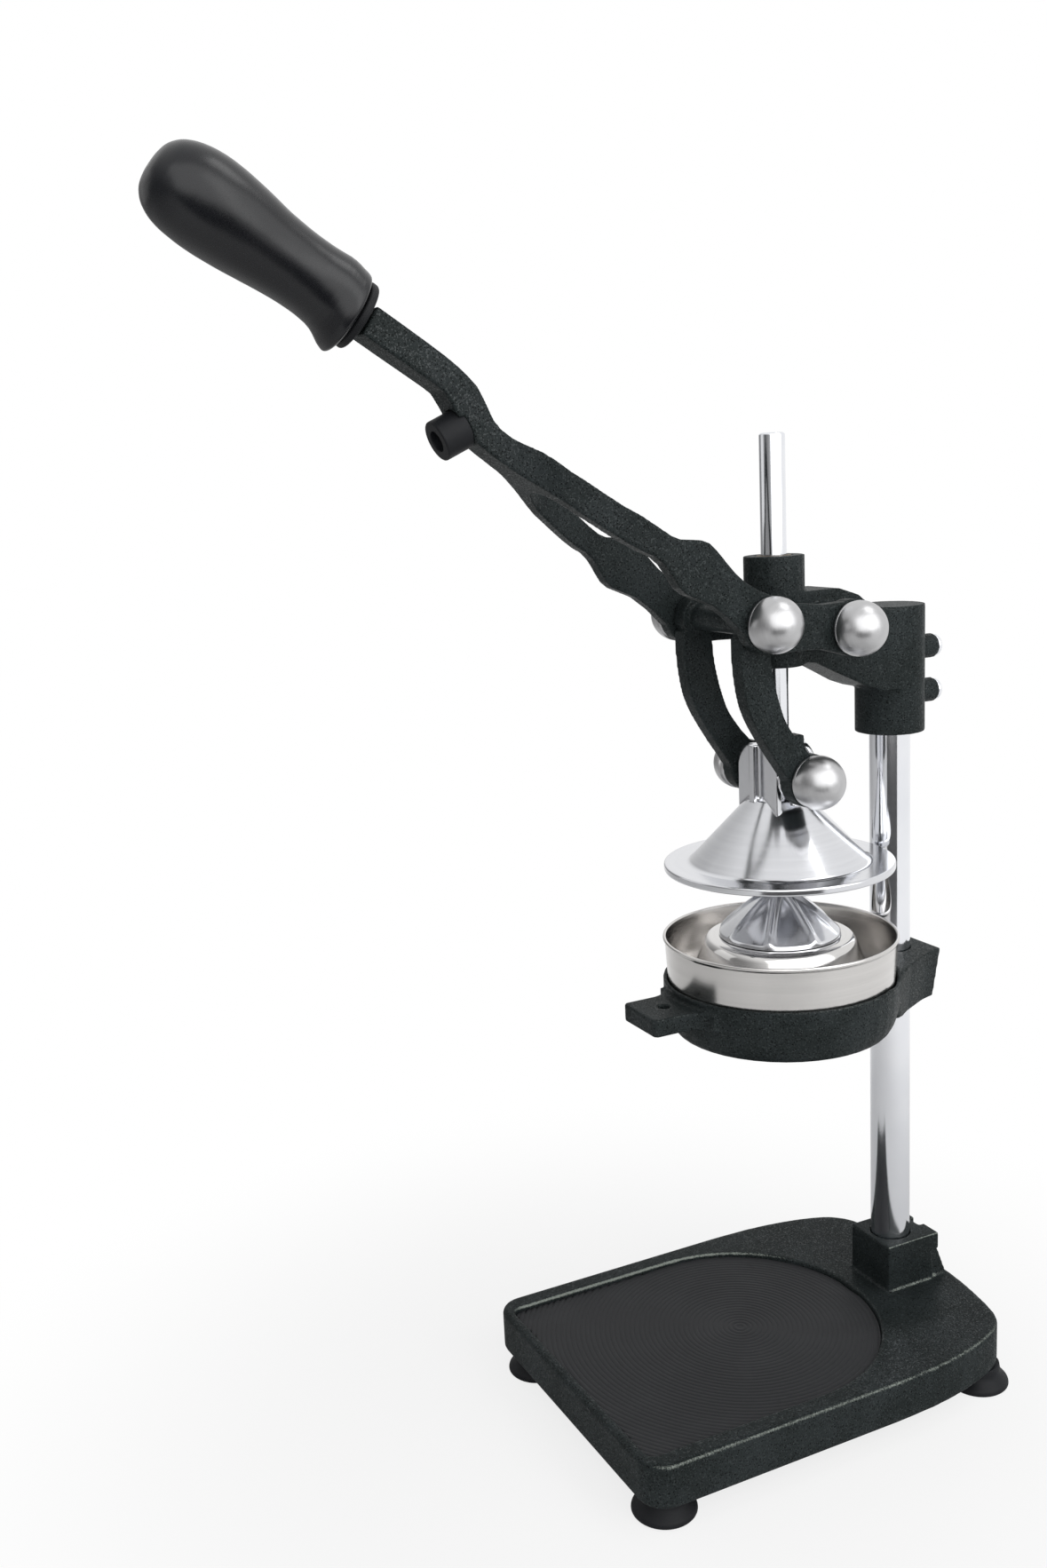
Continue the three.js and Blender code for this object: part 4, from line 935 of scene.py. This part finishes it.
# %% Bushes and bumper screw
for node in ("guide_bush_upper", "guide_bush_lower"):
    low, high = (corner[2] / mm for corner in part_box(node))
    outline = [(6.2, low), (8.2, low), (8.2, high), (6.2, high), (6.2, low)]
    crisp(settle(turned(eased(outline, 0.4, 3), on_guide, 64), node + "_ring", node), 50)
bumper_screw_outline = [(0, -7.9), (2.0, -7.9), (2.0, 6.8), (4.0, 6.8), (4.0, 9.0, 0.5),
                        (3.4, 9.4, 0.3), (1.6, 9.4, 0), (1.6, 7.6, 0), (0, 7.4)]
screw("bumper_screw", bumper_screw_outline, 1.6, axis_from(bumper_start, along_bumper))
print("small pieces ready")


# %% [markdown]
# The strainer is a dome of sheet steel with a flange on the bowl's step and drain slots in its
# side. The dome is spun like the bowl. The slots go through a curved wall, so one Boolean saws
# them all at once, with a block for each.

# %% Strainer
slot_count = 16
slot_middle = (40.5 * mm, 216.95 * mm)
slot_size = (9 * mm, 2.6 * mm, 11.1 * mm, 1)
strainer_outline = [
    (44.2, 208.8), (52.0, 208.8, 0.3), (52.0, 209.8, 0.3), (45.0, 209.8, 1.2),
    (41.6, 218.5, 3.0), (38.4, 227.7, 3.0), (36.9, 231.8, 2.0), (35.1, 233.9, 1.0),
    (32.0, 234.4, 2.0), (8.3, 234.4, 0.3), (8.3, 233.4, 0.3), (32.0, 233.4, 2.0),
    (34.3, 232.9, 1.0), (35.9, 231.2, 2.0), (37.4, 227.3, 3.0), (40.6, 218.2, 3.0),
    (44.2, 208.8)]


def sheet_strainer():
    sheet = as_mesh(turned(eased(strainer_outline, 0.3, 4), on_guide, 128), "sheet")
    saw = bmesh.new()
    for slot in range(slot_count):
        turn = Matrix.Rotation(math.tau * (slot + 0.5) / slot_count, 4, "Z")
        level = Matrix.Translation((0, guide_y, slot_middle[1]))
        spot = level @ turn @ Matrix.Translation((slot_middle[0], 0, 0))
        bmesh.ops.create_cube(saw, size=1.0, matrix=spot @ Matrix.Diagonal(slot_size))
    mesh = kept_shape(sheet, as_mesh(saw, "saw"), "DIFFERENCE")
    print("strainer has", len(mesh.polygons), "faces")
    return crisp(adopt(mesh, "slotted_strainer", "strainer"), 40)


sheet_strainer()


# %% [markdown]
# The reamer is a cone with eight soft ribs, on a peg that drops into the strainer. Ribs made of
# eight more bodies would need blending into the cone. So the cone is spun with many steps, and
# its skin is raised wherever a rib runs: most on the rib's line, less beside it, not at the foot.

# %% Reamer
cone_foot = 234.7
cone_radius = 29.5
cone_height = 23
peg_radius = 8.0
peg_foot = 228.7
rib_count = 8
rib_rise = 2.0
rib_width = 1.7
rib_fade = 3
cone_shares = [(1.0, 0.0), (0.99, 0.07), (0.8, 0.3), (0.56, 0.56), (0.33, 0.78), (0.12, 0.93),
               (0.0, 0.98)]


def ribbed_reamer():
    cone = [(out * cone_radius, cone_foot + up * cone_height) for out, up in cone_shares]
    peg = [(0, peg_foot), (peg_radius, peg_foot), (peg_radius, cone_foot)]
    form = turned(peg + eased(cone, 4.0, 6), Matrix(), 192)
    for vert in form.verts:
        angle = math.atan2(vert.co.y, vert.co.x)
        off = abs((angle * rib_count / math.tau + 0.5) % 1 - 0.5) * math.tau / rib_count
        side = math.hypot(vert.co.x, vert.co.y) / mm * math.sin(off)
        above_foot = min(1, max(0, (vert.co.z / mm - cone_foot) / rib_fade))
        vert.co.z += rib_rise * math.exp(-(side / rib_width) ** 2) * above_foot * mm
    bmesh.ops.transform(form, matrix=on_guide, verts=form.verts)
    return crisp(settle(form, "ribbed_cone", "reamer_cone"), 55)


reamer = ribbed_reamer()
print("reamer has", len(reamer.data.polygons), "faces")


# %% [markdown]
# The picture is taken on a pale floor. A white plane alone turns grey away from the lamps, so the
# floor glows for rays that come straight from the camera, less near the press, where its shadow
# has to show. For mirror-like rays it glows on the side that the lamps stand on.

# %% Floor
def pale_floor():
    form = bmesh.new()
    bmesh.ops.create_grid(form, x_segments=1, y_segments=1, size=4.0)
    floor = in_scene("floor", as_mesh(form, "floor"))
    floor.location.z = -0.2 * mm
    paper = Finish("floor_paper", Roughness=0.9, Specular_IOR_Level=0.1)
    paper.colour(paper.blend(paper.noise(0.4, 2.0), tone(240, 240, 240), tone(246, 246, 246)))
    x, y, _ = paper.parts()
    distance = (x * x + y * y).math("SQRT")
    seen = paper.node("ShaderNodeLightPath", output="Is Camera Ray")
    mirrored = paper.node("ShaderNodeLightPath", output="Is Glossy Ray")
    bright_side = (x * 0.5 + y * 0.87).between(-0.9, 0.2)
    share = (seen * (0.8 + 0.2 * distance.between(0.12, 0.4))
             + mirrored * bright_side * distance.between(0.2, 0.7))
    glow = paper.node("ShaderNodeEmission", {"Color": (1, 1, 1, 1), "Strength": 1.0})
    plain = Signal(paper, paper.shader.outputs[0])
    mixed = paper.node("ShaderNodeMixShader", {0: share, 1: plain, 2: glow})
    paper.tree.links.new(mixed.socket, paper.tree.nodes["Material Output"].inputs["Surface"])
    floor.data.materials.append(paper.material)
    floor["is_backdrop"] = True
    return floor


floor = pale_floor()
print("floor at", round(floor.location.z / mm, 1), "mm")


# %% [markdown]
# The camera stands where the photograph's stood. Its place, its turn and its lens could be found
# by trial. They were fitted instead, by least squares, to the shape of the base, the column and
# the pins. The place is given from the foot of the column, along the camera's own directions.

# %% Camera
azimuth, pitch, roll = (math.radians(angle) for angle in (64.63, 11.49, -2.87))
to_right, to_top, to_back = -0.19726, 0.29341, 0.81845
focal_pixels, photo_height = 1713.42, 1766
sensor_width = 36

back = Vector((math.sin(azimuth) * math.cos(pitch), -math.cos(azimuth) * math.cos(pitch),
               math.sin(pitch)))
level_right = Vector((math.cos(azimuth), math.sin(azimuth), 0))
level_up = back.cross(level_right)
right = math.cos(roll) * level_right + math.sin(roll) * level_up
up = math.cos(roll) * level_up - math.sin(roll) * level_right
spot = to_right * right + to_top * up + to_back * back + Vector((0, column_y, 0))
camera_data = bpy.data.cameras.new("camera")
camera_data.lens = sensor_width * focal_pixels / photo_height
camera_data.clip_start = 0.01
camera_data.clip_end = 20
camera = in_scene("camera", camera_data)
camera.matrix_world = Matrix.Translation(spot) @ Matrix((right, up, back)).transposed().to_4x4()
bpy.context.scene.camera = camera
print("camera at", [round(part, 3) for part in camera.location])


# %% [markdown]
# Even studio light comes from four area lamps: a large one in front, a small one on the right, a
# high one behind that draws the upper edges, and a weak one on the left that opens the shadows.
# One sun would be simpler, but its shadows are hard and metal mirrors it as a dot.

# %% Lamps
def lamp(name, place, aim, width, power, height=None):
    data = bpy.data.lights.new(name, "AREA")
    data.shape = "RECTANGLE"
    data.size = width
    data.size_y = height or width
    data.energy = power
    made = in_scene(name, data)
    made.location = place
    made.rotation_euler = (Vector(aim) - Vector(place)).to_track_quat("-Z", "Y").to_euler()
    return made


lamps = [lamp("front", (1.6, -0.3, 1.2), (0, 0, 0.45), 2.8, 21, 2.1),
         lamp("right", (0.85, 0.5, 0.8), (0, 0.05, 0.45), 0.9, 3),
         lamp("edge", (0.32, 0.75, 1.8), (0, 0, 0.25), 0.6, 3),
         lamp("left", (-1.2, -1.3, 0.9), (0, 0, 0.3), 1.2, 2.5)]
print(len(lamps), "lamps,", sum(each.data.energy for each in lamps), "watts")


# %% [markdown]
# Chrome shows only what stands round it, and between white walls it looks flat. A dark patch in
# its colour would stay put as it turns, which a mirror never does. So it gets what a photographer
# uses: a black card that it mirrors as a dark stripe. The card is a wedge on the floor between
# press and camera. It is seen in reflections only and throws no shadow.

# %% Dark card
card_near, card_far, card_spread = 0.75, 2.4, 0.5


def dark_card():
    form = bmesh.new()
    form.faces.new([
        form.verts.new((math.cos(turn) * reach, math.sin(turn) * reach, 0))
        for reach, turn in ((card_near, -card_spread), (card_far, -card_spread),
                            (card_far, card_spread), (card_near, card_spread))])
    felt = Finish("card_felt", Roughness=0.9)
    felt.colour(felt.blend(felt.noise(3 * mm), tone(18, 18, 19), tone(30, 30, 31)))
    card = in_scene("dark_card", as_mesh(form, "dark_card"))
    card.data.materials.append(felt.material)
    card.location = (0, column_y, 0.5 * mm)
    card.rotation_euler.z = azimuth - math.pi / 2
    card.visible_camera = False
    card.visible_diffuse = False
    card.visible_shadow = False
    card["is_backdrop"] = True
    return card


card = dark_card()
print("card turned by", round(math.degrees(card.rotation_euler.z), 1), "degrees")


# %% [markdown]
# The world is all that lies behind the floor. The camera sees it plain white. To mirror-like rays
# it is a large soft box: bright on the lamps' side and dim on the other, so that round metal gets
# a light and a dark side. To all other rays it is a weak fill. A panorama picture would do this
# too, but a few nodes need no file.

# %% World
world = bpy.data.worlds.new("studio")
bpy.context.scene.world = world
world.use_nodes = True
sky = world.node_tree
softbox_way = (0.41, 0.71, 0.57)
softbox_dim, fill_level, camera_level = 0.25, 0.3, 1.0


def sky_node(kind, inputs=None, **settings):
    """Adds a node to the world and feeds it sockets or plain values."""
    made = sky.nodes.new(kind)
    for key, value in settings.items():
        setattr(made, key, value)
    for key, value in (inputs or {}).items():
        if isinstance(value, bpy.types.NodeSocket):
            sky.links.new(value, made.inputs[key])
        else:
            made.inputs[key].default_value = value
    return made.outputs


rays = sky_node("ShaderNodeLightPath")
towards = sky_node("ShaderNodeVectorMath", {
    0: sky_node("ShaderNodeTexCoord")["Generated"], 1: softbox_way}, operation="DOT_PRODUCT")
softbox = sky_node("ShaderNodeMapRange", {
    "Value": towards["Value"], "From Min": -0.6, "From Max": 0.15, "To Min": softbox_dim,
    "To Max": 1.0}, interpolation_type="SMOOTHSTEP")
lighting = sky_node("ShaderNodeMix", {0: rays["Is Glossy Ray"], 2: fill_level, 3: softbox[0]},
                    data_type="FLOAT")
strength = sky_node("ShaderNodeMix", {0: rays["Is Camera Ray"], 2: lighting[0], 3: camera_level},
                    data_type="FLOAT")
background = sky.nodes["Background"].inputs
background["Color"].default_value = (1, 1, 1, 1)
sky.links.new(strength[0], background["Strength"])
bpy.context.scene.view_settings.view_transform = "Standard"
print("lit, view transform", bpy.context.scene.view_settings.view_transform)


# %% [markdown]
# The dressed press should be no larger than the CAD frame it stands for. Its box is printed here.

# %% Print the sizes
low, high = (tuple(corner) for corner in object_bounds())
print("dressed box in mm:", [round((b - a) / mm, 1) for a, b in zip(low, high)])
